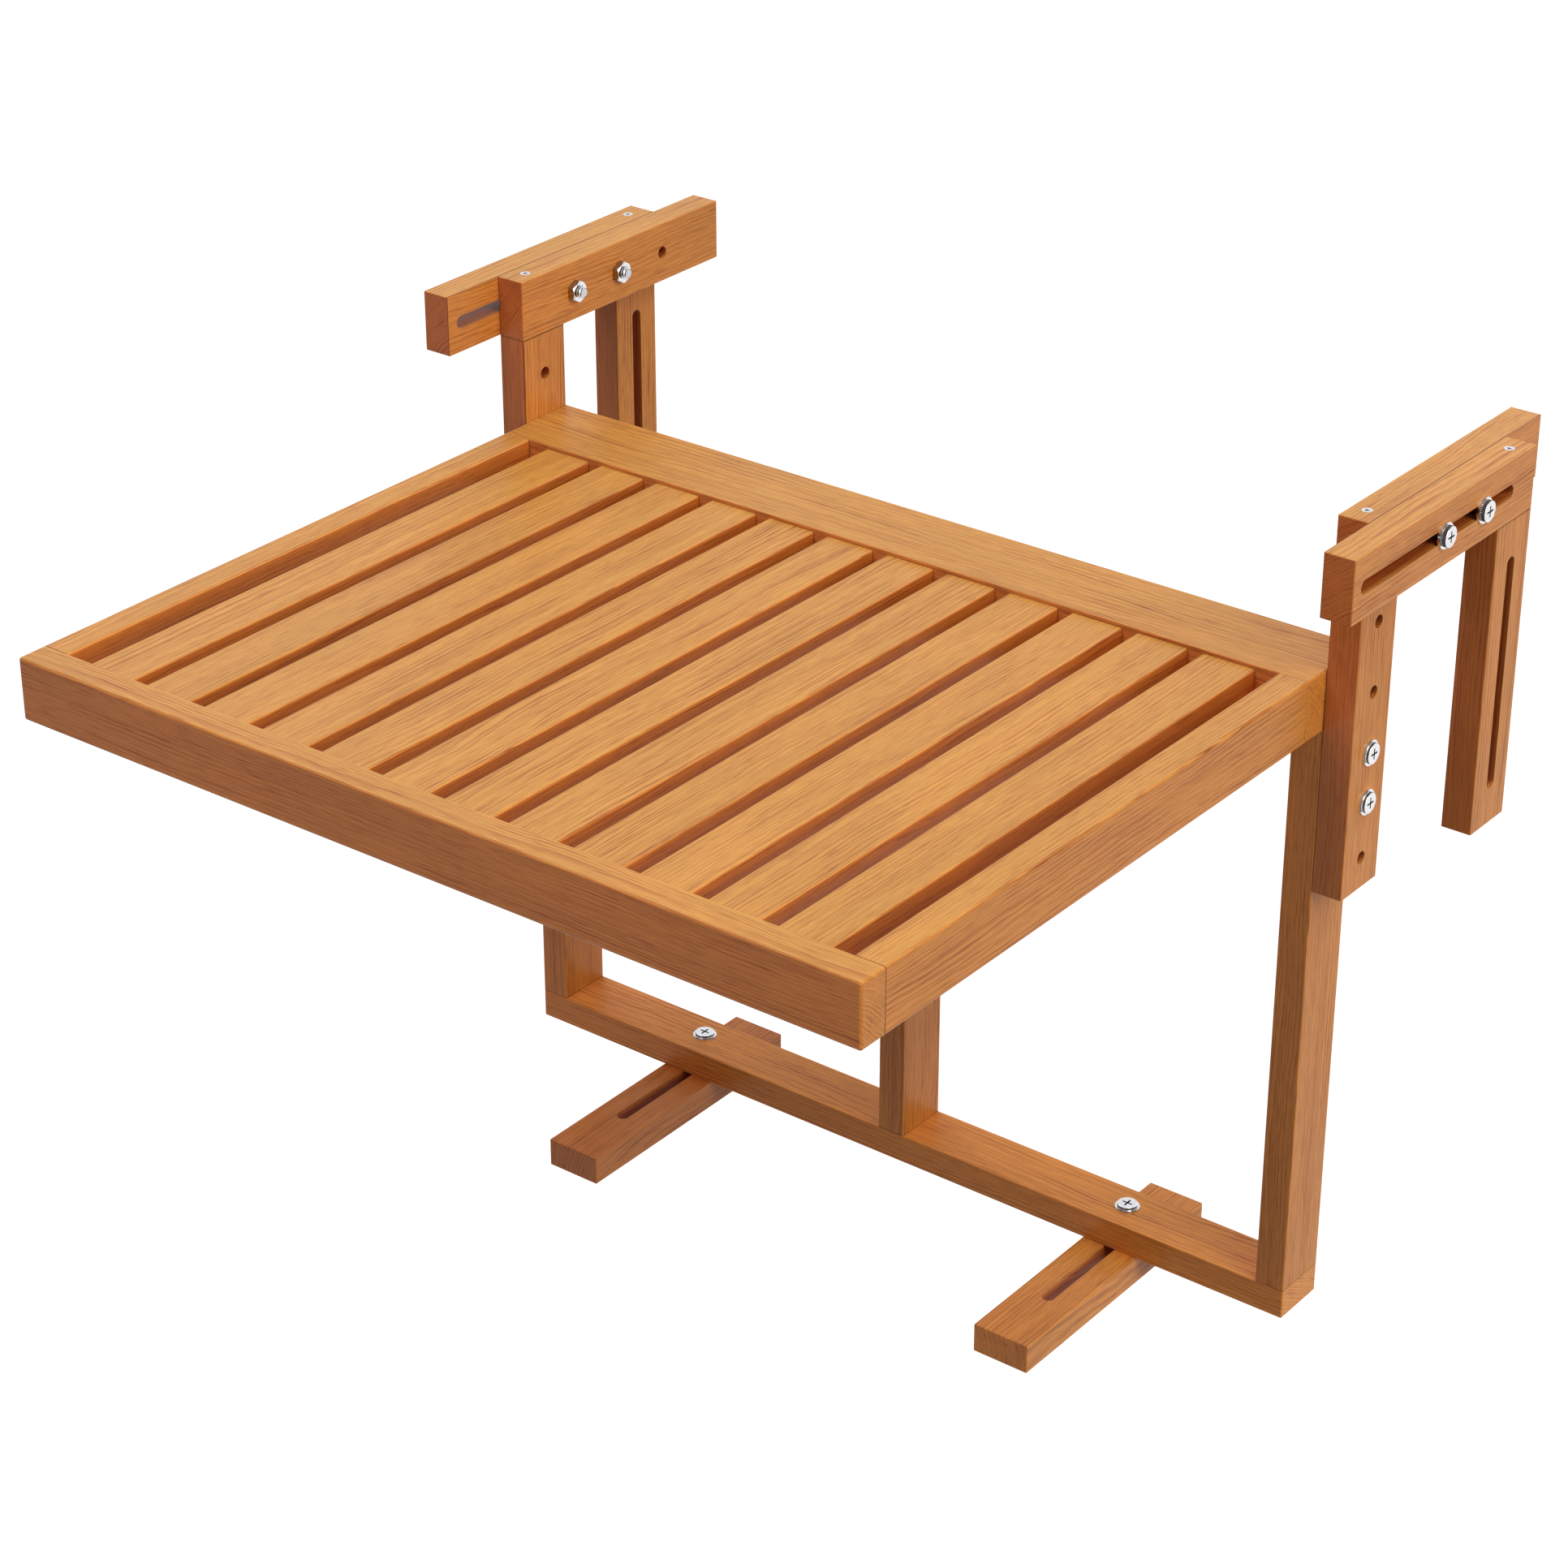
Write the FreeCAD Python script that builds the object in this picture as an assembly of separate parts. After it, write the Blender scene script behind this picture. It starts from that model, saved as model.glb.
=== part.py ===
import FreeCAD, Part
import math
import os

# Balcony railing bar table, in millimetres.
# The origin is where the railing's inner top edge goes: midway between the two hooks (X),
# on the back plane of the rear frame (Y) and on the underside of the arms (Z).
# X runs to the right along the table, Y towards the railing, Z up.

# Tabletop
table_width = 600.0
table_depth = 442.0
table_drop = 56.0
rail_thick = 20.0
rail_high = 40.0
slat_count = 12
slat_wide = 35.0
slat_thick = 15.0
slat_recess = 2.5
edge_gap_share = 1.5
cleat_wide = 20.0
cleat_high = 20.0
cleat_screw_inset_slats = 2

# Rear frame
frame_high = 447.0
frame_deep = 40.0
post_thick = 20.0
top_rail_thick = 20.0
bottom_rail_thick = 20.0

# Hooks
hook_post_thick = 20.0
inner_arm_thick = 20.0
outer_arm_thick = 20.0
arm_high = 40.0
arm_hole_inset = 51.5
arm_hole_pitch = 45.0
arm_hole_count = 3
inner_arm_tail = 58.5
hook_travel_out = 87.5
hook_travel_in = 31.0
slot_front_wall = 8.0
slot_rear_wall = 25.4
drop_post_deep = 40.0
drop_post_long = 200.0
drop_slot_wall = 24.0

# Holes of the hook post, from the underside of the top rail and from each other
clamp_bolt_drop = 34.5
clamp_bolt_pitch = 32.0
spare_hole_rise = 38.5
top_hole_rise = 44.5
low_hole_drop = 37.0
hook_post_tail = 20.5

# Spacer bars
spacer_offset = 172.5
spacer_wide = 40.0
spacer_thick = 20.0
spacer_travel_back = 88.0
spacer_travel_front = 7.4
spacer_slot_wall = 48.0

# Edge rounding
rail_round = 2.0
slat_round = 1.5
bar_round = 0.8
seam_round = 0.4

# Bolts, washers and nuts
bolt_d = 8.0
bolt_head_d = 13.0
bolt_head_high = 2.0
arm_bolt_head_high = 3.0
bolt_long = 50.0
washer_d = 16.0
washer_thick = 1.6
nut_across = 13.0
nut_high = 5.0
bolt_chamfer = 0.8

# Wood screws and dowels
arm_screw_d = 3.5
arm_screw_head_d = 6.5
arm_screw_bite = 20.0
arm_screw_inset = 15.0
slat_screw_d = 3.5
slat_screw_head_d = 7.0
slat_screw_bite = 10.0
cleat_screw_bite = 14.0
frame_screw_d = 5.0
frame_screw_head_d = 10.0
post_screw_bite = 40.0
table_screw_bite = 18.0
table_screw_near = 80.0
table_screw_far = 240.0
dowel_d = 8.0
dowel_long = 30.0
dowel_in_rail = 12.0

# Clearances
bolt_gap = 0.08
slot_gap = 0.3
stop_gap = 0.3
washer_gap = 0.2
nut_gap = 0.05
wood_gap = 0.05
dowel_end_gap = 0.5
mouth_rise = 1.0

# Planes and lengths that follow
half_width = table_width / 2.0
table_top = -table_drop
table_bottom = table_top - rail_high
frame_front = -frame_deep
table_front = frame_front - table_depth
front_rail_back = table_front + rail_thick
rear_rail_front = frame_front - rail_thick
side_inner = half_width - rail_thick
top_rail_under = table_top - top_rail_thick
bottom_rail_under = table_top - frame_high
post_foot = bottom_rail_under + bottom_rail_thick
spacer_under = bottom_rail_under - spacer_thick
slat_top = table_top - slat_recess
slat_under = slat_top - slat_thick
cleat_under = slat_under - cleat_high
frame_mid = frame_front / 2.0
end_post_x = half_width - post_thick / 2.0

slat_run = 2.0 * side_inner - slat_count * slat_wide
slat_gap = slat_run / (slat_count - 1 + 2.0 * edge_gap_share)
slat_pitch = slat_wide + slat_gap
first_slat_x = -side_inner + edge_gap_share * slat_gap + slat_wide / 2.0

hook_face = half_width + hook_post_thick
inner_arm_face = half_width + inner_arm_thick
outer_arm_face = inner_arm_face + outer_arm_thick
arm_mid = arm_high / 2.0
inner_arm_long = arm_hole_inset + (arm_hole_count - 1) * arm_hole_pitch + inner_arm_tail
arm_hole_y = [frame_front + arm_hole_inset + i * arm_hole_pitch for i in range(arm_hole_count)]
arm_bolt_y = arm_hole_y[:2]

slot_r = bolt_d / 2.0 + slot_gap
hook_slot_front = arm_bolt_y[0] - hook_travel_out - stop_gap - slot_r
hook_slot_rear = arm_bolt_y[1] + hook_travel_in + stop_gap + slot_r
outer_arm_front = hook_slot_front - slot_front_wall
outer_arm_rear = hook_slot_rear + slot_rear_wall
drop_post_mid = outer_arm_rear - drop_post_deep / 2.0

clamp_bolt_z = [top_rail_under - clamp_bolt_drop - i * clamp_bolt_pitch for i in range(2)]
spare_hole_z = clamp_bolt_z[0] + spare_hole_rise
top_hole_z = spare_hole_z + top_hole_rise
low_hole_z = clamp_bolt_z[1] - low_hole_drop
hook_post_end = low_hole_z - hook_post_tail

spacer_slot_front = frame_mid - spacer_travel_back - stop_gap - slot_r
spacer_slot_rear = frame_mid + spacer_travel_front + stop_gap + slot_r

X_AXIS = FreeCAD.Vector(1, 0, 0)
Y_AXIS = FreeCAD.Vector(0, 1, 0)
Z_AXIS = FreeCAD.Vector(0, 0, 1)
AXES = {"x": X_AXIS, "y": Y_AXIS, "z": Z_AXIS}
CENTRE = FreeCAD.Vector(0, 0, 0)
SIDES = {"left": -1, "right": 1}


# Shapes that many pieces share

def span(side, near, far):
    """Two X values of a slab that lies between near and far on one side of the table."""
    if side > 0:
        return near, far
    return -far, -near


def lies_in(edge, face):
    """Whether an edge lies in the plane that a face's axis and place name."""
    axis, place, _ = face
    return all(abs(vertex.Point.dot(AXES[axis]) - place) < 1e-6 for vertex in edge.Vertexes)


def bar(x, y, z, along, round_r, ends=False, joined=()):
    """A straight bar with eased long edges, and eased ends where they are free.

    Each joined face is given by its axis, its place and the radius round its own outline.
    """
    size = [x[1] - x[0], y[1] - y[0], z[1] - z[0]]
    shape = Part.makeBox(size[0], size[1], size[2], FreeCAD.Vector(x[0], y[0], z[0]))
    eased = []
    for edge in shape.Edges:
        lengthwise = abs(edge.tangentAt(edge.FirstParameter).dot(AXES[along])) > 0.9
        if (ends or lengthwise) and not any(lies_in(edge, face) for face in joined):
            eased.append(edge)
    shape = shape.makeFillet(min(round_r, 0.4 * min(size)), eased)
    for face in joined:
        outline = [edge for edge in shape.Edges if lies_in(edge, face)]
        shape = shape.makeFillet(min(face[2], 0.4 * min(size)), outline)
    return shape


def rod(base, direction, radius, length):
    """A round bar or a drill, from its base along a direction."""
    return Part.makeCylinder(radius, length, base, direction)


def slot_cutter(direction, first, last, radius, start, length):
    """A drill that is drawn from the centre first to the centre last."""
    travel = last - first
    side = direction.cross(travel).normalize() * radius
    corners = [first + side, last + side, last - side, first - side, first + side]
    web = Part.Face(Part.makePolygon(corners)).extrude(direction * length)
    web.translate(direction * start)
    holes = []
    for centre in (first, last):
        holes.append(rod(centre + direction * start, direction, radius, length))
    return web.fuse(holes).removeSplitter()


def turned(shape, base, direction):
    """A fastener drawn along Z, set down at its base with Z along a direction."""
    placed = shape.copy()
    placed.Placement = FreeCAD.Placement(base, FreeCAD.Rotation(Z_AXIS, direction))
    return placed


def revolved(points):
    """A body turned about Z from an outline of radius and height."""
    outline = Part.makePolygon([FreeCAD.Vector(r, 0, z) for r, z in points + points[:1]])
    return Part.Face(outline).revolve(CENTRE, Z_AXIS, 360)


def cross_recess(head_d, top, depth):
    """The cross in a screw head: two crossed tapering slots."""
    half = 0.28 * head_d
    thick = 0.12 * head_d
    cross = None
    for angle in (0, 90):
        corners = [(-half, top), (half, top), (0.35 * half, top - depth), (-0.35 * half, top - depth)]
        wire = Part.makePolygon([FreeCAD.Vector(a, -thick / 2.0, b) for a, b in corners + corners[:1]])
        arm = Part.Face(wire).extrude(Y_AXIS * thick)
        arm.rotate(CENTRE, Z_AXIS, angle)
        cross = arm if cross is None else cross.fuse(arm)
    return cross


# Fasteners, each with the seat of its head at Z 0 and its tip below

def bolt(head_high):
    """A bolt with a low round head and a cross recess."""
    r = bolt_d / 2.0
    head_r = bolt_head_d / 2.0
    ease = 0.2 * head_high
    points = [(0, -bolt_long), (r - bolt_chamfer, -bolt_long), (r, bolt_chamfer - bolt_long), (r, 0)]
    points += [(head_r, 0), (head_r, head_high - ease), (head_r - ease, head_high), (0, head_high)]
    return revolved(points).cut(cross_recess(bolt_head_d, head_high, 0.8 * head_high))


def washer():
    """A plain washer that lies above Z 0."""
    ring = rod(CENTRE, Z_AXIS, washer_d / 2.0, washer_thick)
    return ring.cut(rod(CENTRE, Z_AXIS, bolt_d / 2.0 + washer_gap, washer_thick))


def nut():
    """A hexagon nut above Z 0, with its corners turned off at both faces."""
    corner_r = nut_across / 2.0 / math.cos(math.pi / 6.0)
    points = []
    for i in range(7):
        angle = math.radians(60 * i)
        points.append(FreeCAD.Vector(corner_r * math.cos(angle), corner_r * math.sin(angle), 0))
    hexagon = Part.Face(Part.makePolygon(points)).extrude(Z_AXIS * nut_high)
    flat_r = 0.48 * nut_across
    rise = 0.6 * (corner_r - flat_r)
    outline = [(0, 0), (flat_r, 0), (corner_r, rise), (corner_r, nut_high - rise)]
    outline += [(flat_r, nut_high), (0, nut_high)]
    bore = rod(CENTRE, Z_AXIS, bolt_d / 2.0 + nut_gap, nut_high)
    return hexagon.common(revolved(outline)).cut(bore)


def screw(diameter, head_d, length):
    """A countersunk wood screw whose head's flat top is at Z 0."""
    r = diameter / 2.0
    head_r = head_d / 2.0
    points = [(0, 0), (head_r, 0), (r, r - head_r), (r, diameter - length), (0, -length)]
    return revolved(points).cut(cross_recess(head_d, 0, 0.6 * (head_r - r)))


def screw_seat(diameter, head_d, length):
    """What a wood screw takes out of the wood, a little larger than the screw."""
    r = diameter / 2.0 + wood_gap
    head_r = head_d / 2.0 + wood_gap
    end = -length - wood_gap
    points = [(0, mouth_rise), (head_r, mouth_rise), (head_r, 0), (r, r - head_r), (r, end), (0, end)]
    return revolved(points)


def bolt_drill(base, direction, length):
    """A drill for a bolt that is a running fit."""
    return rod(base, direction, bolt_d / 2.0 + bolt_gap, length)


# Places of the hidden screws and dowels, shared by the pieces that they join

def slat_x(index):
    return first_slat_x + index * slat_pitch


def cleat_lines():
    """Each cleat's middle in Y and the direction in which its screws enter the rail."""
    front = (front_rail_back + cleat_wide / 2.0, -1)
    rear = (rear_rail_front - cleat_wide / 2.0, 1)
    return [front, rear]


def slat_screw_places():
    places = []
    for middle, _ in cleat_lines():
        for index in range(slat_count):
            places.append(FreeCAD.Vector(slat_x(index), middle, cleat_under))
    return places


def cleat_screw_places(cleat):
    """Heads of one cleat's screws, on its inner face, each between two slats."""
    middle, towards = cleat
    places = []
    for gap in (cleat_screw_inset_slats, slat_count // 2, slat_count - cleat_screw_inset_slats):
        x = slat_x(gap) - slat_pitch / 2.0
        places.append(FreeCAD.Vector(x, middle - towards * cleat_wide / 2.0, slat_under - cleat_high / 2.0))
    return places


def table_screw_places():
    places = []
    for x in (-table_screw_far, -table_screw_near, table_screw_near, table_screw_far):
        places.append(FreeCAD.Vector(x, 0, table_top - top_rail_thick / 2.0))
    return places


def post_y():
    """The two rows of dowels and screws in each post."""
    return [frame_front * 0.25, frame_front * 0.75]


def post_screw_places():
    places = []
    for x in (-end_post_x, 0, end_post_x):
        for y in post_y():
            places.append(FreeCAD.Vector(x, y, bottom_rail_under))
    return places


def dowel_pair(base, direction, radius, end):
    """A dowel or its hole. The base is on the joint, the direction leads into the long piece."""
    start = base - direction * (dowel_in_rail + end)
    return rod(start, direction, radius, dowel_long + 2.0 * end)


def corner_dowels(radius, end):
    dowels = []
    x = half_width - rail_thick / 2.0
    for side in SIDES.values():
        for z in (table_top - 0.25 * rail_high, table_top - 0.75 * rail_high):
            dowels.append(dowel_pair(FreeCAD.Vector(side * x, front_rail_back, z), Y_AXIS, radius, end))
            dowels.append(dowel_pair(FreeCAD.Vector(side * x, rear_rail_front, z), -Y_AXIS, radius, end))
    return dowels


def post_dowels(radius, end):
    dowels = []
    for x in (-end_post_x, 0, end_post_x):
        for y in post_y():
            dowels.append(dowel_pair(FreeCAD.Vector(x, y, top_rail_under), -Z_AXIS, radius, end))
    return dowels


def dowel_holes(maker):
    return maker(dowel_d / 2.0 + wood_gap, dowel_end_gap)


slat_screw_long = cleat_high + slat_screw_bite
cleat_screw_long = cleat_wide + cleat_screw_bite
post_screw_long = bottom_rail_thick + post_screw_bite
table_screw_long = frame_deep + table_screw_bite
arm_screw_long = arm_high + arm_screw_bite


def seats(diameter, head_d, length, places, direction):
    seat = screw_seat(diameter, head_d, length)
    return [turned(seat, place, direction) for place in places]


def slat_screw_seats():
    return seats(slat_screw_d, slat_screw_head_d, slat_screw_long, slat_screw_places(), -Z_AXIS)


def cleat_screw_seats(cleat):
    towards = Y_AXIS * -cleat[1]
    return seats(slat_screw_d, slat_screw_head_d, cleat_screw_long, cleat_screw_places(cleat), towards)


def table_screw_seats():
    return seats(frame_screw_d, frame_screw_head_d, table_screw_long, table_screw_places(), Y_AXIS)


def post_screw_seats():
    return seats(frame_screw_d, frame_screw_head_d, post_screw_long, post_screw_places(), -Z_AXIS)


# Tabletop

def tabletop():
    pieces = {}
    across = (-half_width, half_width)
    high = (table_bottom, table_top)
    corner = dowel_holes(corner_dowels)
    front_seam = ("y", front_rail_back, seam_round)
    rear_seam = ("y", rear_rail_front, seam_round)
    frame_seam = ("y", frame_front, seam_round)
    slat_side = ("y", rear_rail_front, bar_round)
    front = bar(across, (table_front, front_rail_back), high, "x", rail_round, ends=True, joined=[front_seam])
    rear_y = (rear_rail_front, frame_front)
    rear = bar(across, rear_y, high, "x", rail_round, ends=True, joined=[slat_side, frame_seam])
    front_cleat, rear_cleat = cleat_lines()
    pieces["front_rail"] = front.cut(corner + cleat_screw_seats(front_cleat))
    pieces["rear_rail"] = rear.cut(corner + cleat_screw_seats(rear_cleat) + table_screw_seats())
    for name, side in SIDES.items():
        x = span(side, side_inner, half_width)
        rail_y = (front_rail_back, rear_rail_front)
        rail = bar(x, rail_y, high, "y", rail_round, joined=[front_seam, rear_seam])
        pieces[name + "_side_rail"] = rail.cut(corner)
    slat_seats = slat_screw_seats()
    for index in range(slat_count):
        x = (slat_x(index) - slat_wide / 2.0, slat_x(index) + slat_wide / 2.0)
        slat = bar(x, (front_rail_back, rear_rail_front), (slat_under, slat_top), "y", slat_round)
        pieces["slat_%02d" % (index + 1)] = slat.cut(slat_seats)
    for name, cleat in (("front_cleat", front_cleat), ("rear_cleat", rear_cleat)):
        y = (cleat[0] - cleat_wide / 2.0, cleat[0] + cleat_wide / 2.0)
        strip = bar((-side_inner, side_inner), y, (cleat_under, slat_under), "x", bar_round)
        pieces[name] = strip.cut(slat_seats + cleat_screw_seats(cleat))
    return pieces


# Rear frame

def rear_frame():
    pieces = {}
    across = (-half_width, half_width)
    deep = (frame_front, 0)
    holes = dowel_holes(post_dowels)
    screws = post_screw_seats()
    seam = ("y", frame_front, seam_round)
    top = bar(across, deep, (top_rail_under, table_top), "x", bar_round, ends=True, joined=[seam])
    pieces["top_rail"] = top.cut(holes + table_screw_seats())
    pivots = []
    for side in SIDES.values():
        base = FreeCAD.Vector(side * spacer_offset, frame_mid, bottom_rail_under)
        pivots.append(bolt_drill(base, Z_AXIS, bottom_rail_thick))
    bottom = bar(across, deep, (bottom_rail_under, post_foot), "x", bar_round, ends=True)
    pieces["bottom_rail"] = bottom.cut(pivots + screws)
    clamps = []
    for side in SIDES.values():
        for z in clamp_bolt_z:
            base = FreeCAD.Vector(side * (half_width - post_thick), frame_mid, z)
            clamps.append(bolt_drill(base, X_AXIS * side, post_thick))
    for name, x in (("left_end_post", -end_post_x), ("centre_post", 0), ("right_end_post", end_post_x)):
        sides = (x - post_thick / 2.0, x + post_thick / 2.0)
        post = bar(sides, deep, (post_foot, top_rail_under), "z", bar_round)
        pieces[name] = post.cut(holes + screws + clamps)
    return pieces


# Hooks

def hook(name, side):
    pieces = {}
    out = X_AXIS * side
    seat = screw_seat(arm_screw_d, arm_screw_head_d, arm_screw_long)
    inner_x = half_width + inner_arm_thick / 2.0
    outer_x = inner_arm_face + outer_arm_thick / 2.0
    inner_place = FreeCAD.Vector(side * inner_x, frame_front + arm_screw_inset, arm_high)
    outer_place = FreeCAD.Vector(side * outer_x, outer_arm_rear - arm_screw_inset, arm_high)
    inner_seat = turned(seat, inner_place, Z_AXIS)
    outer_seat = turned(seat, outer_place, Z_AXIS)

    post = bar(span(side, half_width, hook_face), (frame_front, 0), (hook_post_end, 0), "z", bar_round)
    drills = [inner_seat]
    for z in clamp_bolt_z + [spare_hole_z, top_hole_z, low_hole_z]:
        base = FreeCAD.Vector(side * half_width, frame_mid, z)
        drills.append(bolt_drill(base, out, hook_post_thick))
    pieces[name + "_hook_post"] = post.cut(drills)

    inner_y = (frame_front, frame_front + inner_arm_long)
    seam = ("x", side * inner_arm_face, seam_round)
    inner_x_span = span(side, half_width, inner_arm_face)
    inner = bar(inner_x_span, inner_y, (0, arm_high), "y", bar_round, ends=True, joined=[seam])
    drills = [inner_seat]
    for y in arm_hole_y:
        drills.append(bolt_drill(FreeCAD.Vector(side * half_width, y, arm_mid), out, inner_arm_thick))
    pieces[name + "_inner_arm"] = inner.cut(drills)

    outer_y = (outer_arm_front, outer_arm_rear)
    outer_x_span = span(side, inner_arm_face, outer_arm_face)
    outer = bar(outer_x_span, outer_y, (0, arm_high), "y", bar_round, ends=True, joined=[seam])
    first = FreeCAD.Vector(side * inner_arm_face, hook_slot_front + slot_r, arm_mid)
    last = FreeCAD.Vector(side * inner_arm_face, hook_slot_rear - slot_r, arm_mid)
    slot = slot_cutter(out, first, last, slot_r, 0, outer_arm_thick)
    pieces[name + "_outer_arm"] = outer.cut([slot, outer_seat])

    drop_y = (outer_arm_rear - drop_post_deep, outer_arm_rear)
    drop = bar(outer_x_span, drop_y, (-drop_post_long, 0), "z", bar_round)
    first = FreeCAD.Vector(side * inner_arm_face, drop_post_mid, -drop_slot_wall - slot_r)
    last = FreeCAD.Vector(side * inner_arm_face, drop_post_mid, -drop_post_long + drop_slot_wall + slot_r)
    slot = slot_cutter(out, first, last, slot_r, 0, outer_arm_thick)
    pieces[name + "_drop_post"] = drop.cut([slot, outer_seat])

    wood_screw = screw(arm_screw_d, arm_screw_head_d, arm_screw_long)
    pieces[name + "_arm_screw"] = turned(wood_screw, inner_place, Z_AXIS)
    pieces[name + "_drop_screw"] = turned(wood_screw, outer_place, Z_AXIS)
    return pieces


def bolted(base, direction, grip, head_high, nut_washer):
    """A bolt and its nut through a grip of wood, with a washer under the head and, where asked, the nut."""
    nut_seat = base - direction * grip
    parts = {}
    parts["bolt"] = turned(bolt(head_high), base + direction * washer_thick, direction)
    parts["washers"] = [turned(washer(), base, direction)]
    if nut_washer:
        parts["washers"].append(turned(washer(), nut_seat, -direction))
        nut_seat = nut_seat - direction * washer_thick
    parts["nut"] = turned(nut(), nut_seat, -direction)
    return parts


def hook_hardware(name, side):
    out = X_AXIS * side
    sets = []
    for z in clamp_bolt_z:
        base = FreeCAD.Vector(side * hook_face, frame_mid, z)
        sets.append(bolted(base, out, hook_post_thick + post_thick, bolt_head_high, False))
    for y in arm_bolt_y:
        base = FreeCAD.Vector(side * outer_arm_face, y, arm_mid)
        sets.append(bolted(base, out, inner_arm_thick + outer_arm_thick, arm_bolt_head_high, False))
    pieces = {}
    rings = []
    for parts in sets:
        rings += parts["washers"]
    pieces[name + "_hook_bolts"] = Part.makeCompound([parts["bolt"] for parts in sets])
    pieces[name + "_hook_washers"] = Part.makeCompound(rings)
    pieces[name + "_hook_nuts"] = Part.makeCompound([parts["nut"] for parts in sets])
    return pieces


# Spacer bars

def spacer(name, side):
    pieces = {}
    middle = side * spacer_offset
    x = (middle - spacer_wide / 2.0, middle + spacer_wide / 2.0)
    y = (spacer_slot_front - spacer_slot_wall, spacer_slot_rear + spacer_slot_wall)
    strip = bar(x, y, (spacer_under, bottom_rail_under), "y", bar_round, ends=True)
    first = FreeCAD.Vector(middle, spacer_slot_front + slot_r, bottom_rail_under)
    last = FreeCAD.Vector(middle, spacer_slot_rear - slot_r, bottom_rail_under)
    pieces[name + "_spacer_bar"] = strip.cut(slot_cutter(-Z_AXIS, first, last, slot_r, 0, spacer_thick))
    base = FreeCAD.Vector(middle, frame_mid, post_foot)
    parts = bolted(base, Z_AXIS, bottom_rail_thick + spacer_thick, bolt_head_high, True)
    pieces[name + "_spacer_bolt"] = parts["bolt"]
    pieces[name + "_spacer_washers"] = Part.makeCompound(parts["washers"])
    pieces[name + "_spacer_nut"] = parts["nut"]
    return pieces


# Hidden screws and dowels

def screw_group(diameter, head_d, length, places, direction):
    made = screw(diameter, head_d, length)
    return [turned(made, place, direction) for place in places]


def hidden_fasteners():
    pieces = {}
    slats = screw_group(slat_screw_d, slat_screw_head_d, slat_screw_long, slat_screw_places(), -Z_AXIS)
    pieces["slat_screws"] = Part.makeCompound(slats)
    cleats = []
    for cleat in cleat_lines():
        towards = Y_AXIS * -cleat[1]
        places = cleat_screw_places(cleat)
        cleats += screw_group(slat_screw_d, slat_screw_head_d, cleat_screw_long, places, towards)
    pieces["cleat_screws"] = Part.makeCompound(cleats)
    tables = screw_group(frame_screw_d, frame_screw_head_d, table_screw_long, table_screw_places(), Y_AXIS)
    pieces["table_screws"] = Part.makeCompound(tables)
    posts = screw_group(frame_screw_d, frame_screw_head_d, post_screw_long, post_screw_places(), -Z_AXIS)
    pieces["post_screws"] = Part.makeCompound(posts)
    pieces["corner_dowels"] = Part.makeCompound(corner_dowels(dowel_d / 2.0, 0))
    pieces["post_dowels"] = Part.makeCompound(post_dowels(dowel_d / 2.0, 0))
    return pieces


def build():
    pieces = {}
    pieces.update(tabletop())
    pieces.update(rear_frame())
    for name, side in SIDES.items():
        pieces.update(hook(name, side))
        pieces.update(hook_hardware(name, side))
        pieces.update(spacer(name, side))
    pieces.update(hidden_fasteners())
    return pieces


def main():
    os.makedirs("parts", exist_ok=True)
    pieces = build()
    for node, shape in pieces.items():
        shape.exportStep("parts/" + node + ".step")
    print(len(pieces), "nodes written")


main()
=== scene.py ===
"""Finishes for the balcony railing bar table: stained fir bars, beech dowels and zinc-plated bolts."""
import math

import bmesh
import bpy
from bpy.props import FloatProperty, FloatVectorProperty, IntProperty, PointerProperty
from bpy.types import Operator, Panel, PropertyGroup
from mathutils import Euler, Matrix, Vector


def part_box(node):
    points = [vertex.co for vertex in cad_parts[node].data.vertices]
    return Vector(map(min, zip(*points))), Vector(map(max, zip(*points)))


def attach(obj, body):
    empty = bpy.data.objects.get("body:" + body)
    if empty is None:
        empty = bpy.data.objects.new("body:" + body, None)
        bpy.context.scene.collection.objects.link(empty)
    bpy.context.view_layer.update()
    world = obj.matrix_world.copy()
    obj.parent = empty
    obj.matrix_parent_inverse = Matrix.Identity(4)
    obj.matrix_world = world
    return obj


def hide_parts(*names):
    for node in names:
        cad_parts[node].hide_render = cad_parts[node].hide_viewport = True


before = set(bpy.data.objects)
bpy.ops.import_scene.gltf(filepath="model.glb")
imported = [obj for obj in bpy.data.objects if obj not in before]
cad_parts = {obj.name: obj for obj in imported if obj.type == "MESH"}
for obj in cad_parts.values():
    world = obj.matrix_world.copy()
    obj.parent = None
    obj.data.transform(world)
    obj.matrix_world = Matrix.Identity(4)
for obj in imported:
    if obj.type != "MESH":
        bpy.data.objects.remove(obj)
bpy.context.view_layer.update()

bl_info = {
    "name": "Balcony railing bar table",
    "version": (1, 0, 0),
    "blender": (4, 5, 0),
    "location": "3D View > Sidebar > Bar table",
    "description": "Gives the packed bar table its wood, its bolts and a plain studio",
    "category": "Object",
}

MM = 0.001
SIDES = (("left", -1), ("right", 1))
WHITE = (1.0, 1.0, 1.0)
# Where the lamps are aimed at
TABLE_MIDDLE = (0.0, -0.2, -0.2)
# Farther off than any side of a board, in millimetres
FAR = 1.0e5

# What properties of one kind have in common
COLOUR = {"subtype": "COLOR", "size": 3, "min": 0.0, "max": 1.0}
FACTOR = {"subtype": "FACTOR", "min": 0.0, "max": 1.0}
LENGTH = {"unit": "LENGTH", "precision": 5}
POWER = {"unit": "POWER", "min": 0.0}
POINT = {"subtype": "TRANSLATION", "unit": "LENGTH", "size": 3}


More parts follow.
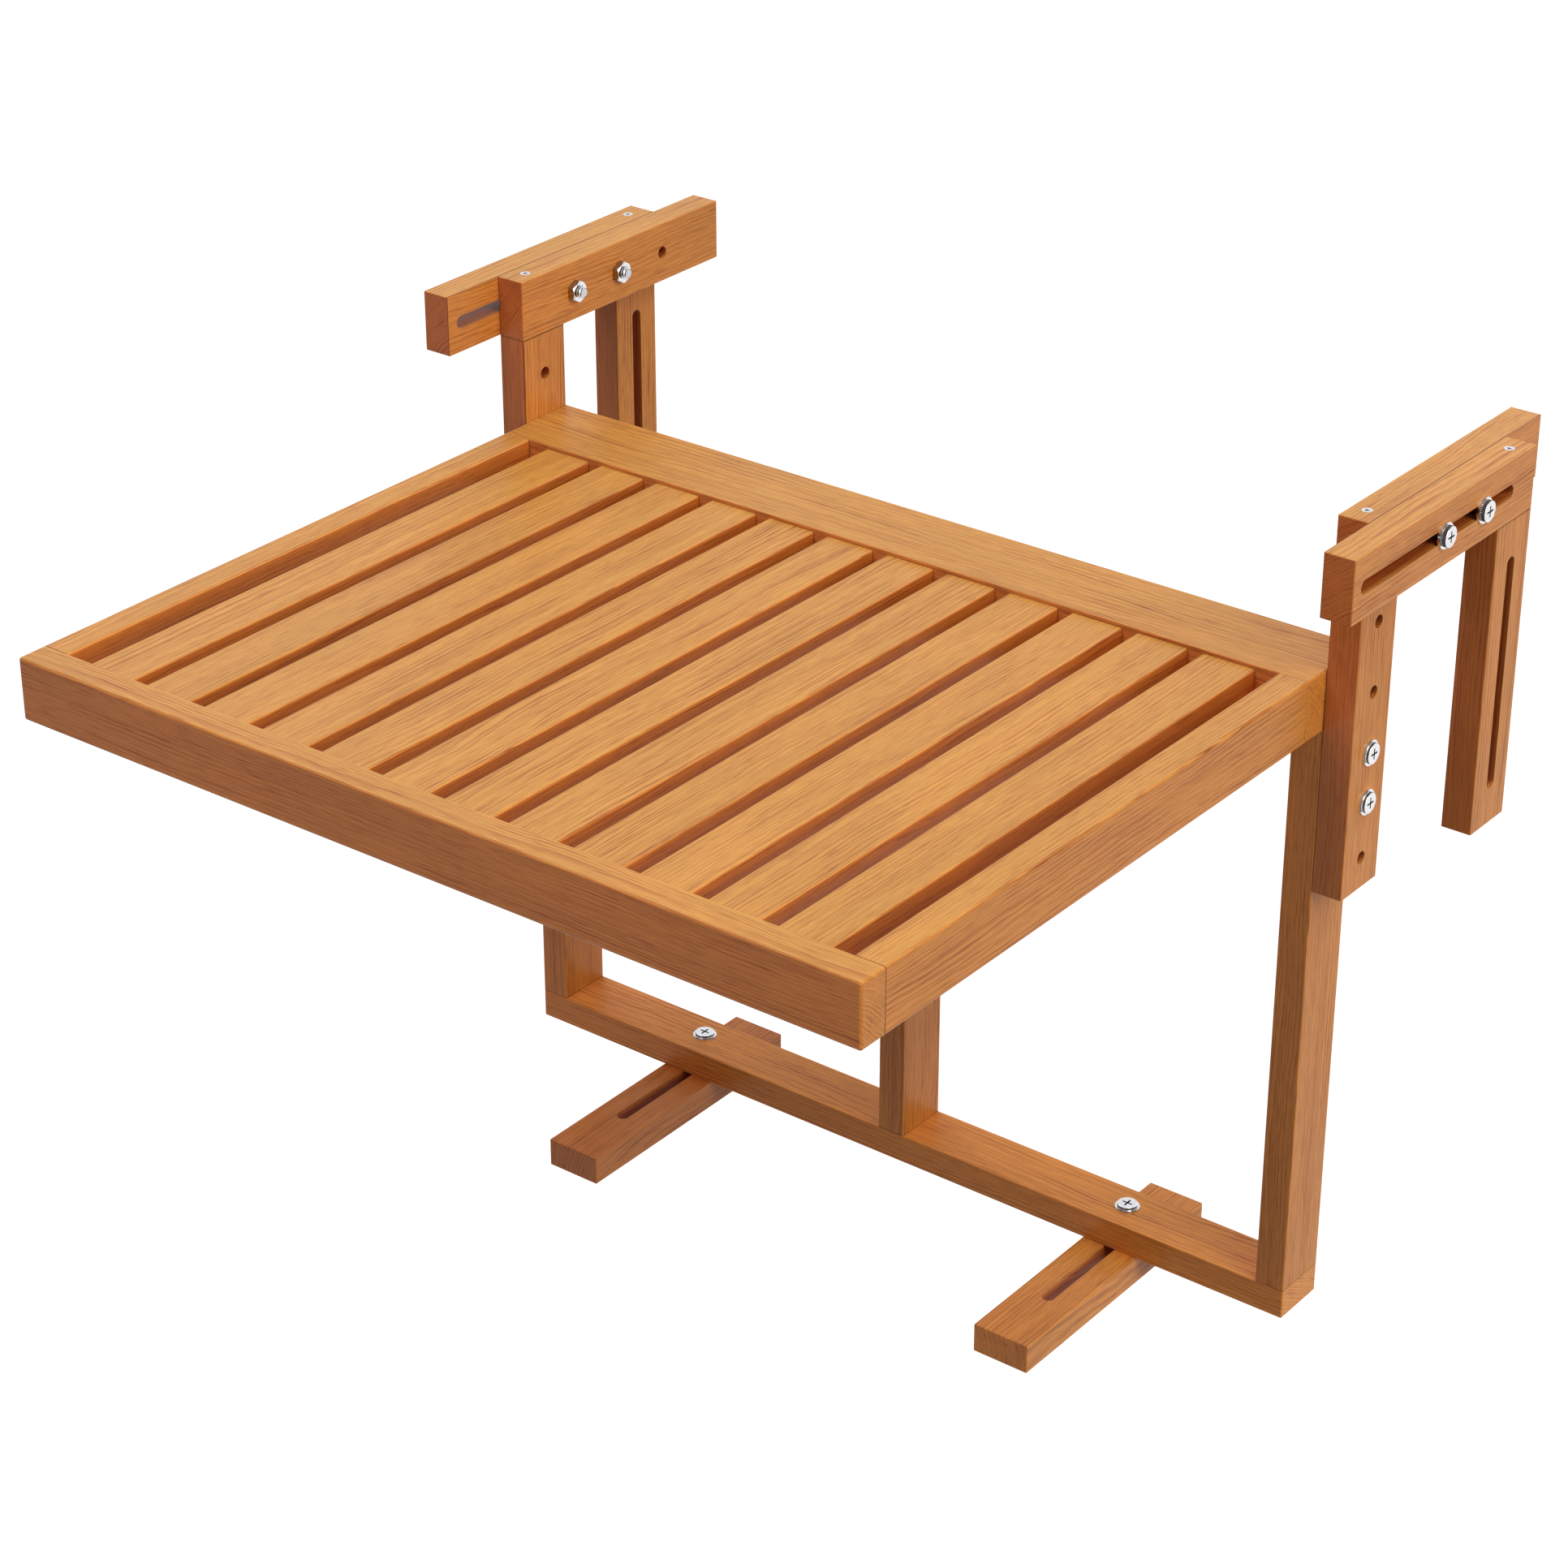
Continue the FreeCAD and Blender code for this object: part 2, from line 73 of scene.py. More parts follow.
def linear(hex_colour):
    """The linear red, green and blue of an sRGB hex colour."""
    channels = []
    for start in (1, 3, 5):
        value = int(hex_colour[start:start + 2], 16) / 255.0
        channels.append(value / 12.92 if value <= 0.04045 else ((value + 0.055) / 1.055) ** 2.4)
    return tuple(channels)


class WoodFinish(PropertyGroup):
    """The stain and the grain of the fir bars, with the light and shade painted on them."""
    earlywood: FloatVectorProperty(
        name="Earlywood", description="Stain on the pale, soft part of each ring",
        default=linear("#DC9445"), **COLOUR)
    # Painted light: faces that look up take a yellower earlywood for the strong light that falls on them.
    lit: FloatVectorProperty(
        name="Faded earlywood", description="The same stain on faces that look up, a little faded by the sun",
        default=linear("#CF9944"), **COLOUR)
    latewood: FloatVectorProperty(
        name="Latewood", description="Stain on the dense, dark line of each ring",
        default=linear("#8C4119"), **COLOUR)
    # Painted shade: the sides along the tabletop's gaps take a darker colour for the shade that falls between
    # the boards.
    painted_gap_shade: FloatVectorProperty(
        name="Gap shade", description="Share of the stain's colour left between the slats, where dirt stays",
        default=(0.88, 0.7, 0.6), **COLOUR)
    # Painted shade: the fronts of the hooks take a darker, redder colour for the shade that falls on them.
    painted_front_shade: FloatVectorProperty(
        name="Front shade", description="Share of the stain's colour left on the shaded fronts of the hooks",
        default=(0.77, 0.68, 0.84), **COLOUR)
    # Painted shade: deep in holes and slots the colour darkens for the shade that falls there.
    painted_hollow_shade: FloatVectorProperty(
        name="Hollow shade", description="Share of the stain's colour left deep in holes and slots",
        default=(0.78, 0.5, 0.48), **COLOUR)
    seam: FloatVectorProperty(
        name="Seam", description="The dark line where two boards meet",
        default=linear("#4A230E"), **COLOUR)
    ring_width: FloatProperty(
        name="Ring width", description="Distance between two dark lines across the rings, in millimetres",
        min=0.5, max=8.0, default=1.9)
    flow: FloatProperty(
        name="Flow", description="How far the lines wander to the side, in millimetres",
        min=0.0, max=20.0, default=5.0)
    line_strength: FloatProperty(
        name="Line strength", description="How dark the strongest lines are",
        default=0.54, **FACTOR)
    roughness: FloatProperty(
        name="Roughness", description="Roughness of the oiled surface",
        default=0.36, **FACTOR)
    relief: FloatProperty(
        name="Relief", description="Height of the raised dark lines",
        unit="LENGTH", min=0.0, max=0.001, precision=6, default=0.00005)


class SteelFinish(PropertyGroup):
    """The zinc on the bolts, nuts, washers and screws, with the reflection and shade painted on it."""
    zinc: FloatVectorProperty(
        name="Zinc", description="Colour of the bright zinc",
        default=linear("#E2E4E6"), **COLOUR)
    # Painted reflection and shade: the sides of nuts take a darker, warmer colour for the wood they mirror.
    pressed: FloatVectorProperty(
        name="Pressed side", description="Colour of the duller sides of nuts",
        default=linear("#A39A94"), **COLOUR)
    rolled: FloatVectorProperty(
        name="Rolled thread", description="Colour of the crests and the end of a thread",
        default=linear("#C6C8CA"), **COLOUR)
    # Painted dark reflection on the ribbed sides of heads, and painted shade in the furrows and on one flank
    # of threads.
    side: FloatVectorProperty(
        name="Rolled side", description="Colour of the dull sides of heads and of the furrows of threads",
        default=linear("#5A5958"), **COLOUR)
    # Painted shade: the near-black inside a cross recess and on the walls of a screw's recess stands in for
    # the shade there.
    recess: FloatVectorProperty(
        name="Recess", description="Colour inside the cross, where the plating is thin",
        default=linear("#1E1D1D"), **COLOUR)
    roughness: FloatProperty(
        name="Roughness", description="Roughness of the bright zinc",
        default=0.2, **FACTOR)


class BoltSizes(PropertyGroup):
    """Sizes of the threaded bolts."""
    major: FloatProperty(
        name="Thread diameter", description="Diameter over the thread",
        default=8.0 * MM, **LENGTH)
    pitch: FloatProperty(
        name="Pitch", description="Distance between two turns of the thread, coarser than the real 1.25 mm",
        default=1.8 * MM, **LENGTH)
    head: FloatProperty(
        name="Head diameter", description="Diameter of the round head",
        default=13.0 * MM, **LENGTH)
    head_high: FloatProperty(
        name="Head height", description="Height of the round head on the posts and the spacer bars",
        default=2.0 * MM, **LENGTH)
    arm_head_high: FloatProperty(
        name="Arm head height", description="Height of the round head on the arms",
        default=3.0 * MM, **LENGTH)
    length: FloatProperty(
        name="Length", description="Length under the head",
        default=50.0 * MM, **LENGTH)
    cross_long: FloatProperty(
        name="Cross length", description="Length of the cross recess over two arms",
        default=7.2 * MM, **LENGTH)
    steps: IntProperty(
        name="Steps per turn", description="Straight pieces in one turn of the thread",
        min=12, max=96, default=32)


class StudioLight(PropertyGroup):
    """The floor and the light."""
    floor_level: FloatProperty(
        name="Floor level", description="Height of the floor under the railing's top",
        unit="LENGTH", default=-1.0)
    floor_colour: FloatVectorProperty(
        name="Floor", description="Colour of the pale floor",
        default=linear("#918A84"), **COLOUR)
    floor_glow: FloatProperty(
        name="Floor glow", description="Level of the floor's own light in the picture, 1 for pure white",
        default=0.95, **FACTOR)
    key_power: FloatProperty(
        name="Key box", description="Power of the softbox above on the right",
        default=30.0, **POWER)
    top_power: FloatProperty(
        name="Overhead box", description="Power of the softbox overhead",
        default=39.0, **POWER)
    left_power: FloatProperty(
        name="Left box", description="Power of the softbox above on the left",
        default=29.0, **POWER)
    side_power: FloatProperty(
        name="Side box", description="Power of the softbox low on the right",
        default=50.0, **POWER)
    shoulder_power: FloatProperty(
        name="Shoulder box", description="Power of the softbox halfway up on the right",
        default=25.0, **POWER)
    front_power: FloatProperty(
        name="Front box", description="Power of the softbox in front",
        default=48.0, **POWER)
    rear_power: FloatProperty(
        name="Rear box", description="Power of the softbox behind",
        default=29.0, **POWER)
    side_colour: FloatVectorProperty(
        name="Side colour", description="Colour of the two softboxes on the right that aren't the key",
        default=(1.0, 0.9, 0.76), **COLOUR)
    fill_colour: FloatVectorProperty(
        name="Fill colour", description="Colour of the softboxes in front and behind",
        default=(1.0, 0.69, 1.0), **COLOUR)


class ViewPoint(PropertyGroup):
    """Where the photograph was taken from."""
    position: FloatVectorProperty(
        name="Position", description="Place of the camera",
        default=(1.2851, -1.8223, 0.9228), **POINT)
    target: FloatVectorProperty(
        name="Target", description="Point in the middle of the picture",
        default=(-0.0335, -0.1115, -0.206), **POINT)
    lens: FloatProperty(
        name="Focal length", description="Focal length on a 36 mm sensor, in millimetres",
        min=1.0, default=90.6)


# Materials

EASED = {"interpolation_type": "SMOOTHSTEP"}
MIXED = {"data_type": "RGBA"}
MULTIPLIED = {"data_type": "RGBA", "blend_type": "MULTIPLY"}
# A face begins to count as looking along an axis at the first cosine, and fully does at the second.
LOOKING = {"From Min": 0.6, "From Max": 0.95}


def add(tree, kind, settings=None, inputs=None):
    """Adds one node, with its settings and with values or links on its inputs."""
    node = tree.nodes.new(kind)
    for name, value in (settings or {}).items():
        setattr(node, name, value)
    for name, value in (inputs or {}).items():
        if isinstance(value, bpy.types.NodeSocket):
            tree.links.new(value, node.inputs[name])
        else:
            node.inputs[name].default_value = value
    return node


def blank_material(name):
    """A new material and its empty node tree."""
    material = bpy.data.materials.new(name)
    material.use_nodes = True
    material.node_tree.nodes.clear()
    return material, material.node_tree


def least(tree, vector):
    """The smallest of a vector's three parts."""
    parts = add(tree, "ShaderNodeSeparateXYZ", None, {0: vector}).outputs
    smallest = parts["X"]
    for other in ("Y", "Z"):
        smallest = add(tree, "ShaderNodeMath", {"operation": "MINIMUM"},
                       {0: smallest, 1: parts[other]}).outputs[0]
    return smallest


def grain_noise(tree, board):
    """Soft noise for each feature of the grain, in cells so many millimetres long and wide."""
    noise = {}
    for feature, along, across, detail in (("bend", 170.0, 45.0, 1.0), ("waver", 26.0, 7.0, 1.0),
                                           ("stretch", 90.0, 12.0, 2.0), ("fibre", 14.0, 1.0, 2.0),
                                           ("dash", 20.0, 1.2, 1.0), ("cloud", 110.0, 30.0, 2.0)):
        cells = add(tree, "ShaderNodeVectorMath", {"operation": "MULTIPLY"},
                    {0: board, 1: (1.0 / along, 1.0 / across, 1.0 / across)})
        texture = add(tree, "ShaderNodeTexNoise", None,
                      {"Vector": cells.outputs[0], "Scale": 1.0, "Detail": detail, "Roughness": 0.5})
        noise[feature] = texture.outputs
    return noise


def ring_lines(tree, board, noise, wood):
    """How strong the dark line of a ring is at each point, from 0 to 1."""
    waver_share = 0.12
    run_of_years = 0.37
    years_swing = 2.6
    # The rings bend to the side over a long reach, and waver a little over a short one.
    shifted = board
    for feature, reach in (("bend", wood.flow), ("waver", waver_share * wood.flow)):
        centred = add(tree, "ShaderNodeVectorMath", {"operation": "SUBTRACT"},
                      {0: noise[feature]["Color"], 1: (0.5, 0.5, 0.5)})
        push = add(tree, "ShaderNodeVectorMath", {"operation": "MULTIPLY"},
                   {0: centred.outputs[0], 1: (0.0, 2.0 * reach, 2.0 * reach)})
        pushed = add(tree, "ShaderNodeVectorMath", {"operation": "ADD"}, {0: shifted, 1: push.outputs[0]})
        shifted = pushed.outputs[0]
    flat = add(tree, "ShaderNodeVectorMath", {"operation": "MULTIPLY"}, {0: shifted, 1: (0.0, 1.0, 1.0)})
    radius = add(tree, "ShaderNodeVectorMath", {"operation": "LENGTH"}, {0: flat.outputs[0]})
    rings = add(tree, "ShaderNodeMath", {"operation": "DIVIDE"},
                {0: radius.outputs["Value"], 1: wood.ring_width})
    # Good and bad years come in runs, so some rings lie close and others wide.
    years = add(tree, "ShaderNodeTexNoise", {"noise_dimensions": "1D"},
                {"W": rings.outputs[0], "Scale": run_of_years, "Detail": 2.0})
    count = add(tree, "ShaderNodeMath", {"operation": "MULTIPLY_ADD"},
                {0: years.outputs[0], 1: years_swing, 2: rings.outputs[0]})
    year = add(tree, "ShaderNodeMath", {"operation": "FRACT"}, {0: count.outputs[0]})
    # Earlywood darkens slowly to a latewood line, which ends sharply at the next year.
    rise = add(tree, "ShaderNodeMapRange", EASED,
               {"Value": year.outputs[0], "From Min": 0.3, "From Max": 0.82})
    fall = add(tree, "ShaderNodeMapRange", EASED,
               {"Value": year.outputs[0], "From Min": 0.88, "From Max": 1.0, "To Min": 1.0, "To Max": 0.0})
    line = add(tree, "ShaderNodeMath", {"operation": "MULTIPLY"}, {0: rise.outputs[0], 1: fall.outputs[0]})
    # Lines show strongly in some stretches and hardly in others.
    stretch = add(tree, "ShaderNodeMapRange", EASED,
                  {"Value": noise["stretch"]["Fac"], "From Min": 0.34, "From Max": 0.7,
                   "To Min": 0.3, "To Max": 1.0})
    drawn = add(tree, "ShaderNodeMath", {"operation": "MULTIPLY"},
                {0: line.outputs[0], 1: stretch.outputs[0]})
    return drawn.outputs[0]


def stain_colour(tree, given, normal, below, dark, cloud, wood):
    """The stain on light and dark wood, with painted shade on some sides and painted light on the tops."""
    # Painted shade: the sides named for it take a darker copy of the earlywood.
    facing = []
    for label in ("Shaded low", "Shaded high"):
        cosine = add(tree, "ShaderNodeVectorMath", {"operation": "DOT_PRODUCT"}, {0: normal, 1: given[label]})
        facing.append(cosine.outputs["Value"])
    either = add(tree, "ShaderNodeMath", {"operation": "MAXIMUM"}, {0: facing[0], 1: facing[1]})
    shaded = add(tree, "ShaderNodeMapRange", EASED, {"Value": either.outputs[0], **LOOKING})
    side = add(tree, "ShaderNodeMix", MIXED,
               {"Factor": shaded.outputs[0], "A": (*wood.earlywood, 1.0), "B": given["Shade"]})
    # Painted light: the top face of an open board takes a yellower earlywood for the light that falls on it,
    # down to 2 mm under its edge.
    upward = add(tree, "ShaderNodeSeparateXYZ", None, {0: normal}).outputs["Z"]
    under = add(tree, "ShaderNodeSeparateXYZ", None, {0: below}).outputs["Z"]
    open_top = add(tree, "ShaderNodeMapRange", EASED,
                   {"Value": under, "From Min": 1.5, "From Max": 3.0, "To Min": given["Sun"], "To Max": 0.0})
    sunned = add(tree, "ShaderNodeMapRange", EASED, {"Value": upward, **LOOKING})
    top_light = add(tree, "ShaderNodeMath", {"operation": "MULTIPLY"},
               {0: sunned.outputs[0], 1: open_top.outputs[0]})
    early = add(tree, "ShaderNodeMix", MIXED,
                {"Factor": top_light.outputs[0], "A": side.outputs["Result"], "B": (*wood.lit, 1.0)})
    stain = add(tree, "ShaderNodeMix", MIXED,
                {"Factor": dark, "A": early.outputs["Result"], "B": (*wood.latewood, 1.0)})
    # The stain takes unevenly over a hand's breadth.
    uneven = add(tree, "ShaderNodeMapRange", EASED,
                 {"Value": cloud, "From Min": 0.3, "From Max": 0.7, "To Min": 0.94, "To Max": 1.05})
    clouded = add(tree, "ShaderNodeVectorMath", {"operation": "SCALE"},
                  {0: stain.outputs["Result"], "Scale": uneven.outputs[0]})
    tinted = add(tree, "ShaderNodeMix", MULTIPLIED,
                 {"Factor": 1.0, "A": clouded.outputs[0], "B": given["Tint"]})
    return tinted.outputs["Result"]


def dark_hollows(tree, colour, above, below, wood):
    """Painted shade in holes and slots: their walls darken with depth. Outside, no point is deeper than its
    rounded edge.
    """
    closer = add(tree, "ShaderNodeVectorMath", {"operation": "MINIMUM"}, {0: above, 1: below})
    sunk = add(tree, "ShaderNodeMapRange", EASED,
               {"Value": least(tree, closer.outputs[0]), "From Min": 0.8, "From Max": 3.5})
    hollow = add(tree, "ShaderNodeMix", MULTIPLIED,
                 {"Factor": sunk.outputs[0], "A": colour, "B": (*wood.painted_hollow_shade, 1.0)})
    return hollow.outputs["Result"]


def dark_seams(tree, colour, given, normal, above, below, wood):
    """Dirt and glue in a thin dark line where a side meets another board, but not on that side itself."""
    # A face that lies flat on a side, by this cosine, is pushed out of the seam's reach on that axis.
    lying_flat = 0.97
    keep_off = 3000.0
    facing = add(tree, "ShaderNodeVectorMath", {"operation": "ABSOLUTE"}, {0: normal})
    over = add(tree, "ShaderNodeVectorMath", {"operation": "SUBTRACT"},
               {0: facing.outputs[0], 1: (lying_flat, lying_flat, lying_flat)})
    lying = add(tree, "ShaderNodeVectorMath", {"operation": "MAXIMUM"},
                {0: over.outputs[0], 1: (0.0, 0.0, 0.0)})
    low_side = add(tree, "ShaderNodeVectorMath", {"operation": "ADD"}, {0: above, 1: given["Free low"]})
    high_side = add(tree, "ShaderNodeVectorMath", {"operation": "ADD"}, {0: below, 1: given["Free high"]})
    nearer = add(tree, "ShaderNodeVectorMath", {"operation": "MINIMUM"},
                 {0: low_side.outputs[0], 1: high_side.outputs[0]})
    clear = add(tree, "ShaderNodeVectorMath", {"operation": "MULTIPLY_ADD"},
                {0: lying.outputs[0], 1: (keep_off, keep_off, keep_off), 2: nearer.outputs[0]})
    seam = add(tree, "ShaderNodeMapRange", EASED,
               {"Value": least(tree, clear.outputs[0]), "From Min": 0.3, "From Max": 0.75,
                "To Min": 0.6, "To Max": 0.0})
    seamed = add(tree, "ShaderNodeMix", MIXED,
                 {"Factor": seam.outputs[0], "A": colour, "B": (*wood.seam, 1.0)})
    return seamed.outputs["Result"]


def fir_board_group(wood):
    """Sawn fir as a solid: rings round a pith, so that lines on faces and ends belong together."""
    name = "fir board"
    if name in bpy.data.node_groups:
        return bpy.data.node_groups[name]
    tree = bpy.data.node_groups.new(name, "ShaderNodeTree")
    for label, kind in (("Turn", "Vector"), ("Pith", "Vector"), ("Tint", "Color"), ("Shade", "Color"),
                        ("Shaded low", "Vector"), ("Shaded high", "Vector"), ("Sun", "Float"),
                        ("Low", "Vector"), ("High", "Vector"),
                        ("Free low", "Vector"), ("Free high", "Vector")):
        tree.interface.new_socket(label, in_out="INPUT", socket_type="NodeSocket" + kind)
    for label, kind in (("Colour", "Color"), ("Roughness", "Float"), ("Height", "Float")):
        tree.interface.new_socket(label, in_out="OUTPUT", socket_type="NodeSocket" + kind)
    given = add(tree, "NodeGroupInput").outputs

    # The board's own millimetres, with X along the grain and the pith on the X axis.
    place = add(tree, "ShaderNodeTexCoord").outputs
    sized = add(tree, "ShaderNodeVectorMath", {"operation": "SCALE"}, {0: place["Object"], "Scale": 1.0 / MM})
    turned = add(tree, "ShaderNodeVectorRotate", {"rotation_type": "EULER_XYZ"},
                 {"Vector": sized.outputs[0], "Rotation": given["Turn"]})
    board = add(tree, "ShaderNodeVectorMath", {"operation": "ADD"}, {0: turned.outputs[0], 1: given["Pith"]})
    # How far a point lies inside the board's low and high sides.
    above = add(tree, "ShaderNodeVectorMath", {"operation": "SUBTRACT"},
                {0: sized.outputs[0], 1: given["Low"]})
    below = add(tree, "ShaderNodeVectorMath", {"operation": "SUBTRACT"},
                {0: given["High"], 1: sized.outputs[0]})

    noise = grain_noise(tree, board.outputs[0])
    lines = ring_lines(tree, board.outputs[0], noise, wood)
    dark = add(tree, "ShaderNodeMath", {"operation": "MULTIPLY"},
               {0: lines, 1: wood.line_strength}).outputs[0]
    # Short fibres and pores, drawn 1 mm wide so that they show.
    fibre = add(tree, "ShaderNodeMapRange", EASED,
                {"Value": noise["fibre"]["Fac"], "From Min": 0.4, "From Max": 0.75}).outputs[0]
    pore = add(tree, "ShaderNodeMapRange", EASED,
               {"Value": noise["dash"]["Fac"], "From Min": 0.56, "From Max": 0.72}).outputs[0]
    for mark, share in ((fibre, 0.24), (pore, 0.25)):
        dark = add(tree, "ShaderNodeMath", {"operation": "MULTIPLY_ADD", "use_clamp": True},
                   {0: mark, 1: share, 2: dark}).outputs[0]

    colour = stain_colour(tree, given, place["Normal"], below.outputs[0], dark, noise["cloud"]["Fac"], wood)
    colour = dark_hollows(tree, colour, above.outputs[0], below.outputs[0], wood)
    colour = dark_seams(tree, colour, given, place["Normal"], above.outputs[0], below.outputs[0], wood)
    # Dark lines shine a little less and stand up a little, and fibres lie open.
    duller = 0.12
    open_fibre = -0.35
    rough = add(tree, "ShaderNodeMath", {"operation": "MULTIPLY_ADD"},
                {0: dark, 1: duller, 2: wood.roughness})
    height = add(tree, "ShaderNodeMath", {"operation": "MULTIPLY_ADD"}, {0: fibre, 1: open_fibre, 2: lines})
    add(tree, "NodeGroupOutput", None,
        {"Colour": colour, "Roughness": rough.outputs[0], "Height": height.outputs[0]})
    return tree


# Boards under the table, in its shade, whose tops get no painted light
SHELTERED = ("front_cleat", "rear_cleat", "bottom_rail", "left_end_post", "centre_post", "right_end_post",
             "left_spacer_bar", "right_spacer_bar")
HOOK_BOARDS = ("hook_post", "inner_arm", "outer_arm", "drop_post")
# The turn that lays a board's grain along X
GRAIN_TURN = {
    "x": Euler((0.0, 0.0, 0.0)),
    "y": Euler((0.0, 0.0, -math.pi / 2.0)),
    "z": Euler((0.0, math.pi / 2.0, 0.0)),
}


def shaded_sides(node):
    """The sides that get painted shade: the fronts of the hooks, and those beside the tabletop's gaps."""
    if node.endswith(HOOK_BOARDS):
        return "-y"
    if node.startswith("slat_"):
        return "-x+x"
    return {"left_side_rail": "+x", "right_side_rail": "-x"}.get(node, "")


def by_axis(sign, sides, named, other):
    """A value each for X, Y and Z, which is the named one where a text such as "-y+z" has that side."""
    return [named if sign + axis in sides else other for axis in "xyz"]


def stained_fir(node, grain, pith_side, pith_away, tint, seams):
    """Planed fir with a honey stain and oil: fine brown ring lines under a satin skin."""
    wood = bpy.context.scene.bartable_wood
    material, tree = blank_material("stained_oiled_fir_" + node)
    turn = GRAIN_TURN[grain]
    low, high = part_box(node)
    middle = turn.to_matrix() @ ((low + high) / 2.0 / MM)
    away = Vector((0.0, math.cos(pith_side), math.sin(pith_side))) * pith_away
    pith = away - middle
    # Each board comes from another stretch of its tree.
    stretch_of_tree = 900.0
    pith.x += stretch_of_tree * pith_side
    # Painted light on the tops of boards in the open, and painted shade on the sides that shaded_sides names.
    sun = 0.0 if node in SHELTERED else 1.0
    dark = shaded_sides(node)
    share = wood.painted_front_shade if node.endswith(HOOK_BOARDS) else wood.painted_gap_shade
    shade = [colour * left for colour, left in zip(wood.earlywood, share)]
    # A side that meets another board has its seam there, and a free side has it far away.
    board = add(tree, "ShaderNodeGroup", {"node_tree": fir_board_group(wood)}, {
        "Turn": turn[:], "Pith": pith[:], "Tint": (*tint, 1.0), "Shade": (*shade, 1.0), "Sun": sun,
        "Shaded low": by_axis("-", dark, -1.0, 0.0), "Shaded high": by_axis("+", dark, 1.0, 0.0),
        "Low": (low / MM)[:], "High": (high / MM)[:],
        "Free low": by_axis("-", seams, 0.0, FAR), "Free high": by_axis("+", seams, 0.0, FAR)})
    bump = add(tree, "ShaderNodeBump", None,
               {"Height": board.outputs["Height"], "Strength": 1.0, "Distance": wood.relief})
    # Wood oil has an IOR near 1.45; sunk into open fibres it shines less than a closed film.
    skin = add(tree, "ShaderNodeBsdfPrincipled", None,
               {"Base Color": board.outputs["Colour"], "Roughness": board.outputs["Roughness"],
                "Normal": bump.outputs[0], "IOR": 1.45, "Specular IOR Level": 0.3})
    add(tree, "ShaderNodeOutputMaterial", None, {"Surface": skin.outputs[0]})
    return material


def turned_beech():
    """Turned beech dowel rod: pale, close-grained, with short dark flecks along it."""
    name = "turned_beech"
    if name in bpy.data.materials:
        return bpy.data.materials[name]
    material, tree = blank_material(name)
    place = add(tree, "ShaderNodeTexCoord").outputs["Object"]
    # Flecks of beech are 1 to 2 mm long and a quarter of that wide: 0.7 to a millimetre along, 2.5 across.
    along, across = 0.7 / MM, 2.5 / MM
    cells = add(tree, "ShaderNodeVectorMath", {"operation": "MULTIPLY"},
                {0: place, 1: (across, along, across)})
    fleck = add(tree, "ShaderNodeTexNoise", None, {"Vector": cells.outputs[0], "Scale": 1.0, "Detail": 2.0})
    ramp = add(tree, "ShaderNodeMapRange", None,
               {"Value": fleck.outputs["Fac"], "From Min": 0.45, "From Max": 0.75})
    colour = add(tree, "ShaderNodeMix", MIXED,
                 {"Factor": ramp.outputs[0], "A": (*linear("#D9B88A"), 1.0), "B": (*linear("#B08A5C"), 1.0)})
    skin = add(tree, "ShaderNodeBsdfPrincipled", None,
               {"Base Color": colour.outputs["Result"], "Roughness": 0.6, "IOR": 1.5})
    add(tree, "ShaderNodeOutputMaterial", None, {"Surface": skin.outputs[0]})
    return material


def walled(tree, bright, wall, place, axis, top):
    """A bright colour with another one on walls along an axis, and on all that lies lower than a top: painted
    reflection on the sides of nuts, painted shade in recesses.
    """
    along = add(tree, "ShaderNodeVectorMath", {"operation": "DOT_PRODUCT"},
                {0: place["Normal"], 1: [float(axis == other) for other in "xyz"]})
    square = add(tree, "ShaderNodeMath", {"operation": "ABSOLUTE"}, {0: along.outputs["Value"]})
    plated = add(tree, "ShaderNodeMapRange", EASED, {"Value": square.outputs[0], **LOOKING})
    if top is not None:
        level = add(tree, "ShaderNodeSeparateXYZ", None, {0: place["Object"]}).outputs["Z"]
        outside = add(tree, "ShaderNodeMapRange", None,
                      {"Value": level, "From Min": top - 0.4 * MM, "From Max": top - 0.1 * MM})
        plated = add(tree, "ShaderNodeMath", {"operation": "MINIMUM"},
                     {0: plated.outputs[0], 1: outside.outputs[0]})
    colour = add(tree, "ShaderNodeMix", MIXED, {"Factor": plated.outputs[0], "A": (*wall, 1.0), "B": bright})
    return colour.outputs["Result"]


